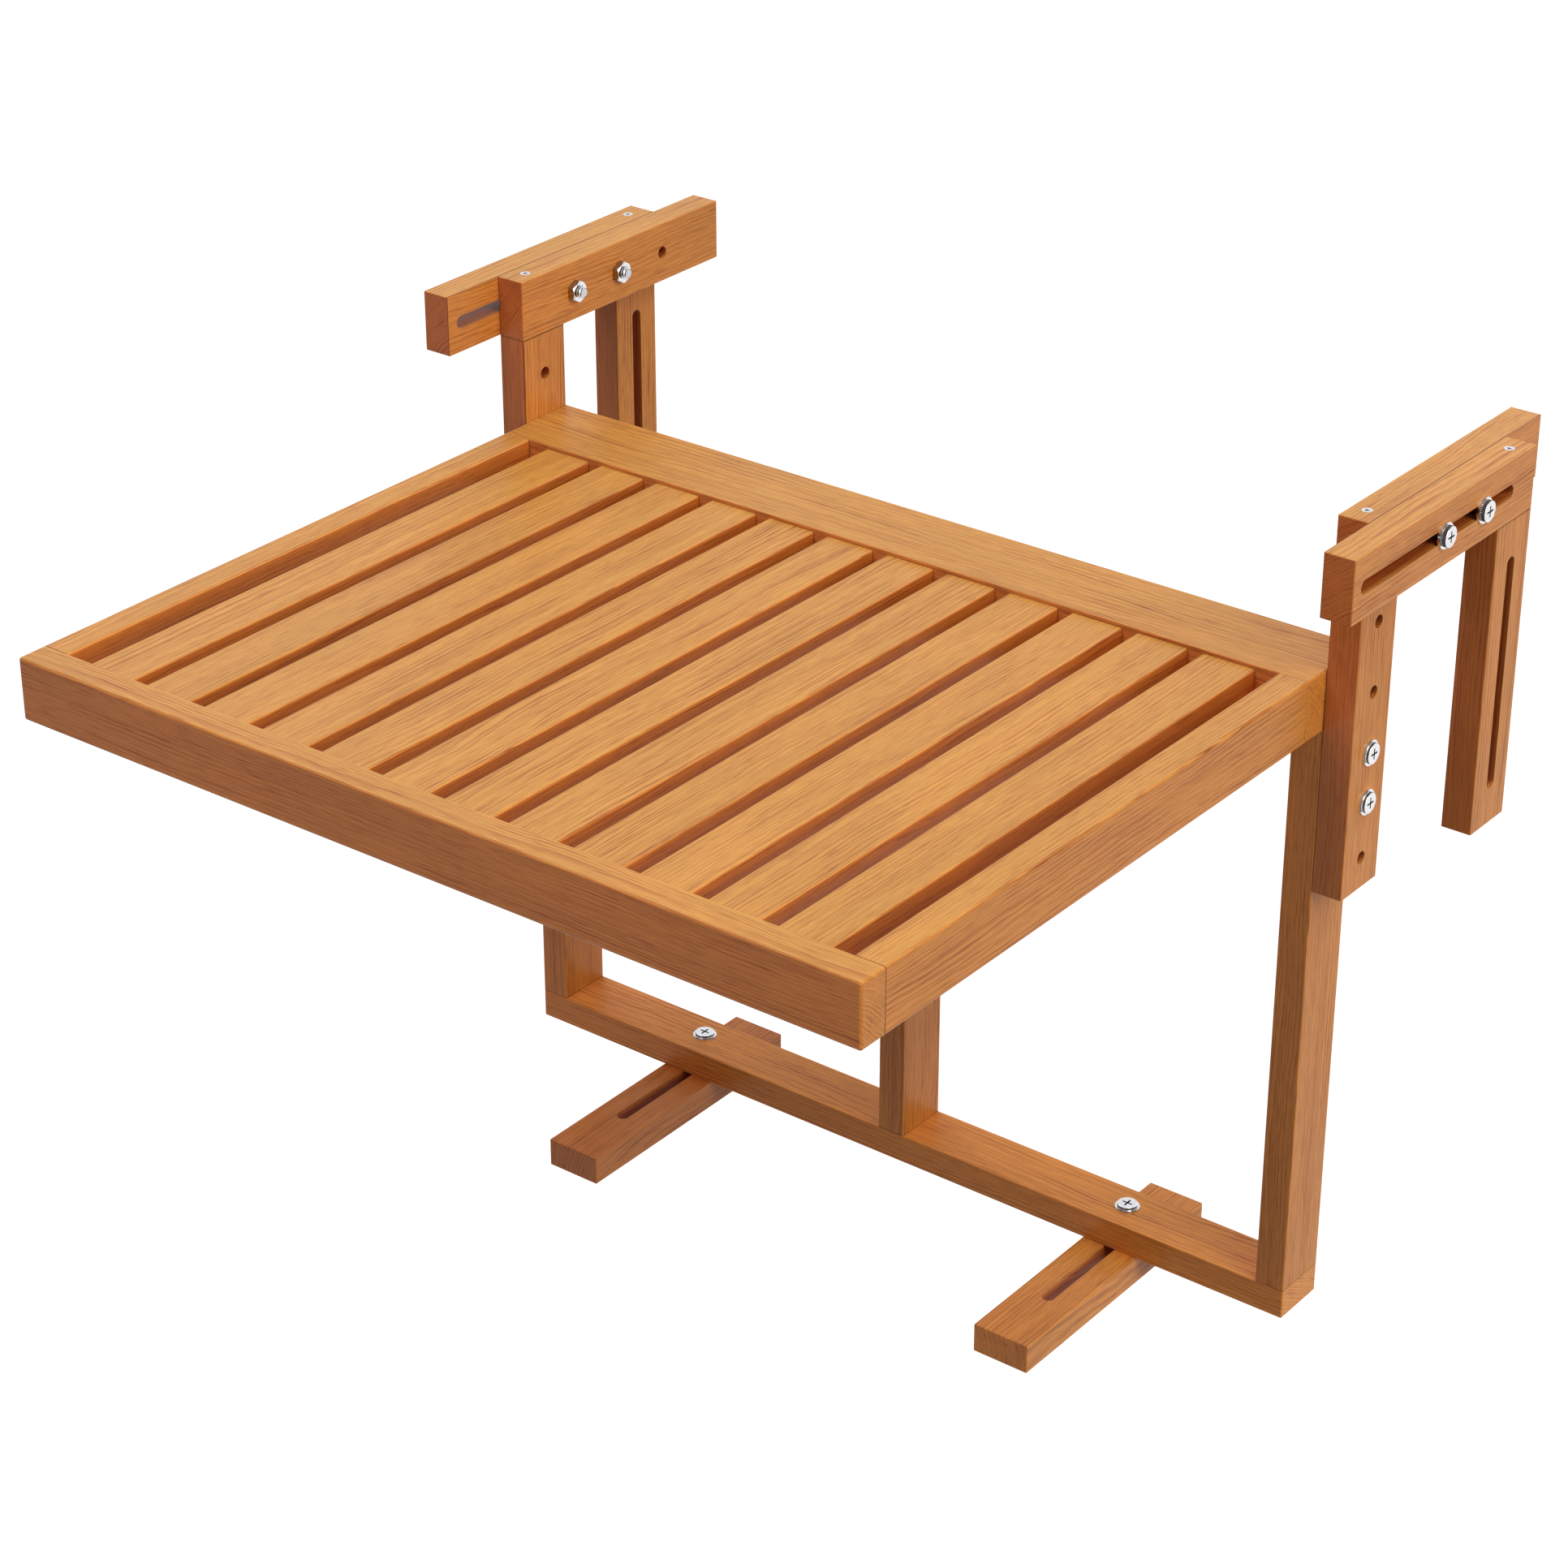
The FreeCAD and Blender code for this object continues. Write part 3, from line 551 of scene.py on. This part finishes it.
def zinc_plated_steel(making="barrel", axis="", top=None):
    """Bright zinc with a clear, slightly clouded shine. Walls along an axis take a darker painted colour:
    reflection painted on the sides of nuts, shade painted in a recess.

    A recess that opens upward has its painted shade all over, under the level of the head's top.
    """
    opening = "" if top is None else "upright"
    name = "_".join(part for part in (making, "zinc_plated_steel", axis, opening) if part)
    if name in bpy.data.materials:
        return bpy.data.materials[name]
    steel = bpy.context.scene.bartable_steel
    material, tree = blank_material(name)
    place = add(tree, "ShaderNodeTexCoord").outputs
    # Cloudy patches are about 3 mm wide, and the plating's own grain about 0.3 mm and 4 thousandths high.
    patch, grit, high = 3.125 * MM, 0.3125 * MM, 0.004 * MM
    cloud = add(tree, "ShaderNodeTexNoise", None,
                {"Vector": place["Object"], "Scale": 1.0 / patch, "Detail": 2.0})
    grain = add(tree, "ShaderNodeTexNoise", None,
                {"Vector": place["Object"], "Scale": 1.0 / grit, "Detail": 1.0})
    shade = add(tree, "ShaderNodeMapRange", None,
                {"Value": cloud.outputs["Fac"], "From Min": 0.3, "From Max": 0.7,
                 "To Min": 0.92, "To Max": 1.0})
    zinc = add(tree, "ShaderNodeVectorMath", {"operation": "SCALE"},
               {0: steel.zinc[:], "Scale": shade.outputs[0]})
    colour = zinc.outputs[0]
    if axis:
        wall = steel.pressed if making == "pressed" else steel.recess
        colour = walled(tree, colour, wall, place, axis, top)
    rough = add(tree, "ShaderNodeMapRange", None,
                {"Value": cloud.outputs["Fac"], "To Min": steel.roughness, "To Max": steel.roughness - 0.1})
    bump = add(tree, "ShaderNodeBump", None,
               {"Height": grain.outputs["Fac"], "Strength": 0.4, "Distance": high})
    skin = add(tree, "ShaderNodeBsdfPrincipled", None,
               {"Base Color": colour, "Metallic": 1.0, "Roughness": rough.outputs[0],
                "Normal": bump.outputs[0]})
    add(tree, "ShaderNodeOutputMaterial", None, {"Surface": skin.outputs[0]})
    return material


def mottled_steel(name, colour, patch, darkest, lightest, roughness):
    """Steel of one colour that is darker and lighter in patches of one size."""
    if name in bpy.data.materials:
        return bpy.data.materials[name]
    material, tree = blank_material(name)
    place = add(tree, "ShaderNodeTexCoord").outputs["Object"]
    patches = add(tree, "ShaderNodeTexNoise", None, {"Vector": place, "Scale": 1.0 / patch, "Detail": 1.0})
    shade = add(tree, "ShaderNodeMapRange", None,
                {"Value": patches.outputs["Fac"], "To Min": darkest, "To Max": lightest})
    mottled = add(tree, "ShaderNodeVectorMath", {"operation": "SCALE"},
                  {0: colour[:], "Scale": shade.outputs[0]})
    skin = add(tree, "ShaderNodeBsdfPrincipled", None,
               {"Base Color": mottled.outputs[0], "Metallic": 1.0, "Roughness": roughness})
    add(tree, "ShaderNodeOutputMaterial", None, {"Surface": skin.outputs[0]})
    return material


def painted_shade_steel():
    """Painted dark reflection on the ribbed side of a head, and painted shade in the furrows of a thread."""
    # The painted colour is mottled in patches about 1 mm wide.
    colour = bpy.context.scene.bartable_steel.side
    return mottled_steel("rolled_dull_steel", colour, 1.0 * MM, 0.8, 1.2, 0.36)


def thread_steel():
    """Zinc on the crests, one flank and the end of a rolled thread: the bright side of its painted stripes of
    light and shade.
    """
    # Drawn marks round the shank are about 0.5 mm apart.
    colour = bpy.context.scene.bartable_steel.rolled
    return mottled_steel("rolled_zinc_plated_thread", colour, 0.5 * MM, 0.9, 1.05, 0.24)


def recess_steel():
    """Painted shade inside the cross: nearly black steel."""
    # Punch marks are about 0.5 mm apart.
    colour = bpy.context.scene.bartable_steel.recess
    return mottled_steel("punched_oily_steel", colour, 0.5 * MM, 0.6, 1.4, 0.5)


def finish_node(node, material):
    """Gives a CAD node its material in every slot."""
    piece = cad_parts[node]
    piece.data.materials.clear()
    piece.data.materials.append(material)


def finish_board(node, grain, pith_side, pith_away, tint=WHITE, seams=""):
    """Gives a board its own cut of fir, with seams on the sides that meet other boards, such as "-y+y"."""
    finish_node(node, stained_fir(node, grain, pith_side, pith_away, tint, seams))


def shade_of(number, spread=0.05):
    """A small difference of tone from board to board, from a fraction that jumps about but never changes."""
    turn = math.sin(12.9898 * (number + 1.0)) * 43758.5453
    share = turn - math.floor(turn)
    value = 1.0 + spread * (share - 0.5)
    return (value, value, value)


# Bolts

# The order of a bolt's materials
ZINC, RECESS, THREAD, PAINTED_SHADE = range(4)
# The cross goes so far down from the head's top
RECESS_DEEP = 2.4 * MM


def shade_smoothly(shell):
    """Smooth shading, with a hard edge wherever faces meet at 28 degrees or more."""
    for edge in shell.edges:
        edge.smooth = edge.calc_face_angle(0.0) < math.radians(28.0)
    for face in shell.faces:
        face.smooth = True


def thread_mesh(sizes):
    """A threaded shank from inside the head down to its tip, as one helical strip with closed ends."""
    inside_head = 0.4 * MM
    tip_ease = 0.8 * MM
    depth_in_pitches = 0.613
    crest = sizes.major / 2.0
    root = crest - depth_in_pitches * sizes.pitch
    # One pitch has a flat crest, a flank, a flat root and a flank. The first and the last get the bright
    # zinc, the others painted shade.
    profile = ((0.0, crest), (0.13, crest), (0.44, root), (0.69, root))
    bright_strips = (0, 3)
    # The turns run on past both ends, where their points are brought back to the end.
    steps = sizes.steps
    turns = int(sizes.length / sizes.pitch) + 3
    tip = -sizes.length
    shell = bmesh.new()
    columns = []
    for index in range(steps + 1):
        angle = 2.0 * math.pi * index / steps
        column = []
        for turn in range(turns + 1):
            for rise, radius in profile:
                z = tip - sizes.pitch + sizes.pitch * (turn + rise + index / steps)
                z = min(max(z, tip), inside_head)
                r = min(radius, crest - tip_ease + z - tip)
                column.append(shell.verts.new((r * math.cos(angle), r * math.sin(angle), z)))
        columns.append(column)
    for left, right in zip(columns, columns[1:]):
        for number, corners in enumerate(zip(left, right, right[1:], left[1:])):
            strip = shell.faces.new(corners)
            strip.material_index = THREAD if number % len(profile) in bright_strips else PAINTED_SHADE
    bmesh.ops.remove_doubles(shell, verts=shell.verts, dist=1.0e-6)
    bmesh.ops.dissolve_degenerate(shell, edges=shell.edges, dist=1.0e-6)
    open_edges = [edge for edge in shell.edges if edge.is_boundary]
    for end in bmesh.ops.holes_fill(shell, edges=open_edges, sides=0)["faces"]:
        end.material_index = THREAD
    bmesh.ops.recalc_face_normals(shell, faces=shell.faces)
    shade_smoothly(shell)
    return shell


def turned_mesh(outline, steps):
    """A closed body turned about Z from radius and height pairs that start and end on the axis."""
    shell = bmesh.new()
    rings = []
    for radius, z in outline:
        if radius == 0.0:
            rings.append([shell.verts.new((0.0, 0.0, z))])
            continue
        ring = []
        for index in range(steps):
            angle = 2.0 * math.pi * index / steps
            ring.append(shell.verts.new((radius * math.cos(angle), radius * math.sin(angle), z)))
        rings.append(ring)
    for lower, upper in zip(rings, rings[1:]):
        for index in range(steps):
            after = (index + 1) % steps
            corners = [lower[index % len(lower)], lower[after % len(lower)],
                       upper[after % len(upper)], upper[index % len(upper)]]
            shell.faces.new(list(dict.fromkeys(corners)))
    bmesh.ops.recalc_face_normals(shell, faces=shell.faces)
    return shell


def cross_cutter(sizes, high):
    """The cross recess: two crossed wedges that narrow with depth."""
    half_long = sizes.cross_long / 2.0
    half_wide = 0.6 * MM
    # Height, reach and half a width: a little over the head, and at the floor.
    top = (high + 0.5 * MM, 1.12 * half_long, 1.1 * half_wide)
    floor = (high - RECESS_DEEP, 0.3 * half_long, 0.5 * half_wide)
    shell = bmesh.new()
    for turn in (0.0, math.pi / 2.0):
        corners = []
        for z, reach, width in (top, floor):
            for x, y in ((1, 1), (-1, 1), (-1, -1), (1, -1)):
                corner = Matrix.Rotation(turn, 3, "Z") @ Vector((x * reach, y * width, z))
                corners.append(shell.verts.new(corner))
        for face in ((0, 1, 2, 3), (4, 7, 6, 5), (0, 4, 5, 1), (1, 5, 6, 2), (2, 6, 7, 3), (3, 7, 4, 0)):
            shell.faces.new([corners[i] for i in face])
    bmesh.ops.recalc_face_normals(shell, faces=shell.faces)
    return shell


def object_of(shell, name):
    """Turns a bmesh into an object in the scene."""
    mesh = bpy.data.meshes.new(name)
    shell.to_mesh(mesh)
    shell.free()
    made = bpy.data.objects.new(name, mesh)
    bpy.context.scene.collection.objects.link(made)
    return made


def head_mesh(sizes, high):
    """A round head with an eased rim and a cross recess, its seat at Z 0. On the arms its side is ribbed."""
    steps = 96
    r = sizes.head / 2.0
    ease = 0.35 * MM
    seat_ease = 0.4 * MM
    # A neck hidden in the shank holds the floor of the recess.
    neck, neck_end = 0.4 * r, -3.0 * MM
    outline = [(0.0, neck_end), (neck, neck_end), (neck, 0.0),
               (r - ease, 0.0), (r, seat_ease), (r, high - ease)]
    for step in range(1, 7):
        angle = math.radians(15.0 * step)
        outline.append((r - ease + ease * math.cos(angle), high - ease + ease * math.sin(angle)))
    outline += [(0.5 * r, high), (0.0, high)]
    blank = turned_mesh(outline, steps)
    # Every third line up the side of a high head is pressed in.
    furrow = 0.3 * MM
    if high > (sizes.head_high + sizes.arm_head_high) / 2.0:
        for vert in blank.verts:
            around = math.hypot(vert.co.x, vert.co.y)
            line = round(steps * math.atan2(vert.co.y, vert.co.x) / (2.0 * math.pi))
            if around > r - 0.01 * MM and line % 3 == 0:
                vert.co.xy *= 1.0 - furrow / around
    head = object_of(blank, "head_blank")
    cutter = object_of(cross_cutter(sizes, high), "cross_cutter")
    cut = head.modifiers.new("cross", "BOOLEAN")
    cut.object = cutter
    cut.solver = "EXACT"
    cut.use_self = True
    bpy.context.view_layer.update()
    evaluated = head.evaluated_get(bpy.context.evaluated_depsgraph_get())
    made = bpy.data.meshes.new_from_object(evaluated)
    for tool in (head, cutter):
        mesh = tool.data
        bpy.data.objects.remove(tool)
        bpy.data.meshes.remove(mesh)
    shell = bmesh.new()
    shell.from_mesh(made)
    bpy.data.meshes.remove(made)
    shade_smoothly(shell)
    # Painted shade makes the cross dark inside, and a painted dark reflection the side of the head.
    for face in shell.faces:
        middle = face.calc_center_median()
        deep = high - middle.z
        inside = middle.xy.length < 0.6 * sizes.cross_long and 0.03 * MM < deep < RECESS_DEEP + 0.05 * MM
        beside = middle.xy.length > r - 0.6 * MM and middle.z > 0.1 * MM and abs(face.normal.z) < 0.5
        face.material_index = RECESS if inside else PAINTED_SHADE if beside else ZINC
    return shell


def place_bolt(whole, parts, seat, direction):
    """Copies the parts of a bolt into a mesh, with its seat at a point and its head along a direction."""
    turn = Vector((0.0, 0.0, 1.0)).rotation_difference(Vector(direction)).to_matrix().to_4x4()
    matrix = Matrix.Translation(Vector(seat)) @ turn
    for part in parts:
        copy = part.copy()
        bmesh.ops.transform(copy, matrix=matrix, verts=copy.verts)
        loose = bpy.data.meshes.new("loose")
        copy.to_mesh(loose)
        copy.free()
        whole.from_mesh(loose)
        bpy.data.meshes.remove(loose)


def solids_of(node):
    """Low and high corners of each separate solid of a CAD node, in order of height and depth."""
    shell = bmesh.new()
    shell.from_mesh(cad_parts[node].data)
    bmesh.ops.remove_doubles(shell, verts=shell.verts, dist=1.0e-7)
    left = set(shell.verts)
    found = []
    while left:
        group = [left.pop()]
        for vert in group:
            for edge in vert.link_edges:
                other = edge.other_vert(vert)
                if other in left:
                    left.remove(other)
                    group.append(other)
        low = Vector([min(v.co[i] for v in group) for i in range(3)])
        high = Vector([max(v.co[i] for v in group) for i in range(3)])
        found.append((low, high))
    shell.free()
    return sorted(found, key=lambda pair: (round(pair[0].z, 4), round(pair[0].y, 4)))


def threaded_bolts(name, node, body, direction):
    """Bolts with real threads in place of a CAD node's plain ones."""
    sizes = bpy.context.scene.bartable_bolts
    direction = Vector(direction)
    axis = max(range(3), key=lambda i: abs(direction[i]))
    shank = thread_mesh(sizes)
    whole = bmesh.new()
    for low, high in solids_of(node):
        head_high = high[axis] - low[axis] - sizes.length
        if min(abs(head_high - known) for known in (sizes.head_high, sizes.arm_head_high)) > 0.01 * MM:
            raise RuntimeError(node + " has a bolt of another length")
        seat = (low + high) / 2.0
        end = high if direction[axis] > 0 else low
        seat[axis] = end[axis] - direction[axis] * head_high
        head = head_mesh(sizes, head_high)
        place_bolt(whole, (shank, head), seat, direction)
        head.free()
    shank.free()
    made = object_of(whole, name)
    for material in (zinc_plated_steel(), recess_steel(), thread_steel(), painted_shade_steel()):
        made.data.materials.append(material)
    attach(made, body)
    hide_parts(node)
    return made


# Operators, one for each group of like pieces

class BARTABLE_OT_top_frame(Operator):
    """Finish the four rails round the tabletop"""
    bl_idname = "bartable.top_frame"
    bl_label = "Tabletop rails"

    def execute(self, context):
        finish_board("front_rail", "x", pith_side=0.85, pith_away=120.0)
        finish_board("rear_rail", "x", pith_side=0.7, pith_away=130.0, tint=(0.98, 0.97, 0.96), seams="+y")
        pale = (1.01, 1.01, 1.01)
        finish_board("left_side_rail", "y", pith_side=0.9, pith_away=110.0, tint=pale, seams="-y+y")
        finish_board("right_side_rail", "y", pith_side=2.4, pith_away=105.0, seams="-y+y")
        return {"FINISHED"}


class BARTABLE_OT_slats(Operator):
    """Finish the slats, each cut from its own board"""
    bl_idname = "bartable.slats"
    bl_label = "Slats"

    def execute(self, context):
        slats = sorted(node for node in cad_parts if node.startswith("slat_") and node != "slat_screws")
        for number, node in enumerate(slats):
            # The pith lies on each of four sides in turn, a little off, and at one of seven distances.
            side = math.pi * (0.25 + 0.5 * (number % 4)) + 0.3 * math.sin(2.3 * number)
            away = 70.0 + 14.0 * ((number * 5) % 7)
            finish_board(node, "y", side, away, shade_of(number), "-y+y")
        return {"FINISHED"}


class BARTABLE_OT_cleats(Operator):
    """Finish the two cleats that carry the slats"""
    bl_idname = "bartable.cleats"
    bl_label = "Cleats"

    def execute(self, context):
        finish_board("front_cleat", "x", pith_side=0.6, pith_away=70.0, tint=(0.97, 0.97, 0.97))
        finish_board("rear_cleat", "x", pith_side=2.6, pith_away=80.0, tint=(0.99, 0.99, 0.99))
        return {"FINISHED"}


class BARTABLE_OT_rear_frame(Operator):
    """Finish the upright frame behind the tabletop"""
    bl_idname = "bartable.rear_frame"
    bl_label = "Rear frame"

    def execute(self, context):
        finish_board("top_rail", "x", pith_side=1.0, pith_away=100.0, tint=(0.99, 0.99, 0.99))
        # The bottom rail's lighter tint is painted light, for light that falls on it.
        finish_board("bottom_rail", "x", pith_side=1.05, pith_away=95.0, tint=(1.2, 1.22, 1.1))
        for node, side, away in (("left_end_post", 0.6, 110.0), ("centre_post", 2.5, 100.0),
                                 ("right_end_post", 0.7, 140.0)):
            finish_board(node, "z", pith_side=side, pith_away=away, seams="-z+z")
        return {"FINISHED"}


class BARTABLE_OT_hooks(Operator):
    """Finish the posts and arms of both hooks"""
    bl_idname = "bartable.hooks"
    bl_label = "Hooks"

    def execute(self, context):
        for number, (side, sign) in enumerate(SIDES):
            outward, inward = ("-x", "+x") if sign < 0 else ("+x", "-x")
            turn = 0.2 * number
            tones = [shade_of(first + number, 0.03) for first in (20, 22, 24, 26)]
            finish_board(side + "_hook_post", "z", 0.6 + turn, 105.0, tones[0], inward + "+z")
            finish_board(side + "_inner_arm", "y", 0.7 + turn, 120.0, tones[1], outward)
            finish_board(side + "_outer_arm", "y", 0.8 + turn, 95.0, tones[2], inward)
            finish_board(side + "_drop_post", "z", 2.5 - turn, 110.0, tones[3], "+z")
        return {"FINISHED"}


class BARTABLE_OT_spacer_bars(Operator):
    """Finish the two slotted spacer bars"""
    bl_idname = "bartable.spacer_bars"
    bl_label = "Spacer bars"

    def execute(self, context):
        # Painted shadow and light: the left bar's darker tint stands in for the tabletop's shadow, the right
        # bar's lighter tint for the light it gets.
        finish_board("left_spacer_bar", "y", pith_side=0.25, pith_away=88.0, tint=(0.84, 0.78, 0.8))
        finish_board("right_spacer_bar", "y", pith_side=2.9, pith_away=90.0, tint=(1.08, 1.12, 1.08))
        return {"FINISHED"}


class BARTABLE_OT_dowels(Operator):
    """Finish the hidden dowels"""
    bl_idname = "bartable.dowels"
    bl_label = "Dowels"

    def execute(self, context):
        for node in ("corner_dowels", "post_dowels"):
            finish_node(node, turned_beech())
        return {"FINISHED"}


class BARTABLE_OT_bolts(Operator):
    """Make the threaded bolts with their cross-recessed heads"""
    bl_idname = "bartable.bolts"
    bl_label = "Bolts"

    def execute(self, context):
        for side, sign in SIDES:
            hook, spacer = side + "_hook_bolts", side + "_spacer_bolt"
            threaded_bolts(hook + "_threaded", hook, "table", (sign, 0, 0))
            threaded_bolts(spacer + "_threaded", spacer, side + "_spacer_pivot", (0, 0, 1))
        return {"FINISHED"}


class BARTABLE_OT_nuts_and_washers(Operator):
    """Finish the nuts and the washers"""
    bl_idname = "bartable.nuts_and_washers"
    bl_label = "Nuts and washers"

    def execute(self, context):
        for side, _ in SIDES:
            for kind, axis in (("hook_nuts", "x"), ("spacer_nut", "z")):
                finish_node(side + "_" + kind, zinc_plated_steel("pressed", axis))
            for kind in ("hook_washers", "spacer_washers"):
                finish_node(side + "_" + kind, zinc_plated_steel())
        return {"FINISHED"}


class BARTABLE_OT_wood_screws(Operator):
    """Finish the wood screws"""
    bl_idname = "bartable.wood_screws"
    bl_label = "Wood screws"

    def execute(self, context):
        for node in ("left_arm_screw", "right_arm_screw", "left_drop_screw", "right_drop_screw"):
            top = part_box(node)[1].z
            finish_node(node, zinc_plated_steel("punched", "z", top))
        for node, axis in (("slat_screws", "z"), ("post_screws", "z"),
                           ("cleat_screws", "y"), ("table_screws", "y")):
            finish_node(node, zinc_plated_steel("punched", axis))
        return {"FINISHED"}


def seen_directly(tree):
    """1 for what the camera sees, straight, mirrored or through glass, and 0 for light on surfaces."""
    path = add(tree, "ShaderNodeLightPath").outputs
    seen = path["Is Camera Ray"]
    for other in ("Is Glossy Ray", "Is Transmission Ray"):
        seen = add(tree, "ShaderNodeMath", {"operation": "MAXIMUM"}, {0: seen, 1: path[other]}).outputs[0]
    return seen


def painted_floor(studio):
    """Smooth pale paint on a flat floor: even and dull, it shows the soft shadow and nothing else."""
    material, tree = blank_material("matt_pale_floor_paint")
    place = add(tree, "ShaderNodeTexCoord").outputs["Object"]
    # Faint specks in the paint are about 17 mm wide, 60 to the metre.
    speck = add(tree, "ShaderNodeTexNoise", None, {"Vector": place, "Scale": 0.06 / MM, "Detail": 3.0})
    value = add(tree, "ShaderNodeMapRange", None,
                {"Value": speck.outputs["Fac"], "To Min": 0.98, "To Max": 1.02})
    colour = add(tree, "ShaderNodeVectorMath", {"operation": "SCALE"},
                 {0: studio.floor_colour[:], "Scale": value.outputs[0]})
    paint = add(tree, "ShaderNodeBsdfDiffuse", None, {"Color": colour.outputs[0], "Roughness": 0.5})
    lift = add(tree, "ShaderNodeMath", {"operation": "MULTIPLY"},
               {0: seen_directly(tree), 1: studio.floor_glow})
    glow = add(tree, "ShaderNodeEmission", None, {"Color": (*WHITE, 1.0), "Strength": lift.outputs[0]})
    both = add(tree, "ShaderNodeAddShader", None, {0: paint.outputs[0], 1: glow.outputs[0]})
    add(tree, "ShaderNodeOutputMaterial", None, {"Surface": both.outputs[0]})
    return material


def aimed(data, place, target):
    """Puts a lamp or a camera into the scene, aimed from a place at a target."""
    made = bpy.data.objects.new(data.name, data)
    made.location = place
    made.rotation_euler = (Vector(target) - Vector(place)).to_track_quat("-Z", "Y").to_euler()
    bpy.context.scene.collection.objects.link(made)
    return made


def softbox(name, place, size, power, colour=WHITE):
    """A square area lamp aimed at the middle of the table."""
    lamp = bpy.data.lights.new(name, "AREA")
    lamp.shape = "SQUARE"
    lamp.size = size
    lamp.energy = power
    lamp.color = colour
    aimed(lamp, place, TABLE_MIDDLE)


class BARTABLE_OT_stage(Operator):
    """Make the floor, the softboxes and the white background"""
    bl_idname = "bartable.stage"
    bl_label = "Studio"

    def execute(self, context):
        studio = context.scene.bartable_studio
        half_wide = 14.0
        shell = bmesh.new()
        bmesh.ops.create_grid(shell, x_segments=8, y_segments=8, size=half_wide)
        floor = object_of(shell, "studio_floor")
        floor.location.z = studio.floor_level
        floor.data.materials.append(painted_floor(studio))
        softbox("key_softbox", (2.55, -1.35, 3.2), 1.5, studio.key_power)
        softbox("overhead_softbox", (0.0, -0.1, 3.0), 2.6, studio.top_power)
        softbox("left_softbox", (-2.4, 0.9, 2.9), 1.6, studio.left_power)
        softbox("side_softbox", (3.4, -0.3, 0.9), 2.0, studio.side_power, studio.side_colour[:])
        softbox("shoulder_softbox", (2.9, -0.3, 2.4), 1.6, studio.shoulder_power, studio.side_colour[:])
        softbox("rear_softbox", (0.2, 3.2, 1.6), 2.4, studio.rear_power, studio.fill_colour[:])
        softbox("front_softbox", (-0.6, -2.6, 2.6), 1.8, studio.front_power, studio.fill_colour[:])
        # The background is white to look at, and gives no light of its own.
        world = bpy.data.worlds.new("studio_background")
        world.use_nodes = True
        tree = world.node_tree
        tree.nodes.clear()
        white = add(tree, "ShaderNodeBackground", None,
                    {"Color": (*WHITE, 1.0), "Strength": seen_directly(tree)})
        add(tree, "ShaderNodeOutputWorld", None, {"Surface": white.outputs[0]})
        context.scene.world = world
        context.scene.view_settings.view_transform = "Standard"
        return {"FINISHED"}


class BARTABLE_OT_camera(Operator):
    """Set the camera where the photograph was taken from"""
    bl_idname = "bartable.camera"
    bl_label = "Camera"

    def execute(self, context):
        view = context.scene.bartable_view
        lens = bpy.data.cameras.new("photograph_view")
        lens.sensor_width = 36.0
        lens.lens = view.lens
        lens.clip_start = 0.05
        context.scene.camera = aimed(lens, view.position, view.target)
        return {"FINISHED"}


OPERATORS = (
    BARTABLE_OT_top_frame, BARTABLE_OT_slats, BARTABLE_OT_cleats, BARTABLE_OT_rear_frame,
    BARTABLE_OT_hooks, BARTABLE_OT_spacer_bars, BARTABLE_OT_dowels, BARTABLE_OT_bolts,
    BARTABLE_OT_nuts_and_washers, BARTABLE_OT_wood_screws, BARTABLE_OT_stage, BARTABLE_OT_camera,
)


class BARTABLE_PT_panel(Panel):
    """The bar table's pieces and finishes"""
    bl_idname = "BARTABLE_PT_panel"
    bl_label = "Bar table"
    bl_space_type = "VIEW_3D"
    bl_region_type = "UI"
    bl_category = "Bar table"

    def draw(self, context):
        layout = self.layout
        for operator in OPERATORS:
            layout.operator(operator.bl_idname)
        for name in SETTINGS:
            settings = getattr(context.scene, name)
            box = layout.box()
            for key in settings.bl_rna.properties.keys():
                if key not in ("rna_type", "name"):
                    box.prop(settings, key)


SETTINGS = {
    "bartable_wood": WoodFinish,
    "bartable_steel": SteelFinish,
    "bartable_bolts": BoltSizes,
    "bartable_studio": StudioLight,
    "bartable_view": ViewPoint,
}
CLASSES = (*SETTINGS.values(), *OPERATORS, BARTABLE_PT_panel)


def register():
    for group in CLASSES:
        bpy.utils.register_class(group)
    for name, group in SETTINGS.items():
        setattr(bpy.types.Scene, name, PointerProperty(type=group))


def unregister():
    for name in SETTINGS:
        delattr(bpy.types.Scene, name)
    for group in reversed(CLASSES):
        bpy.utils.unregister_class(group)


def main():
    register()
    for operator in OPERATORS:
        getattr(bpy.ops.bartable, operator.bl_idname.split(".")[1])()


if __name__ == "__main__":
    main()
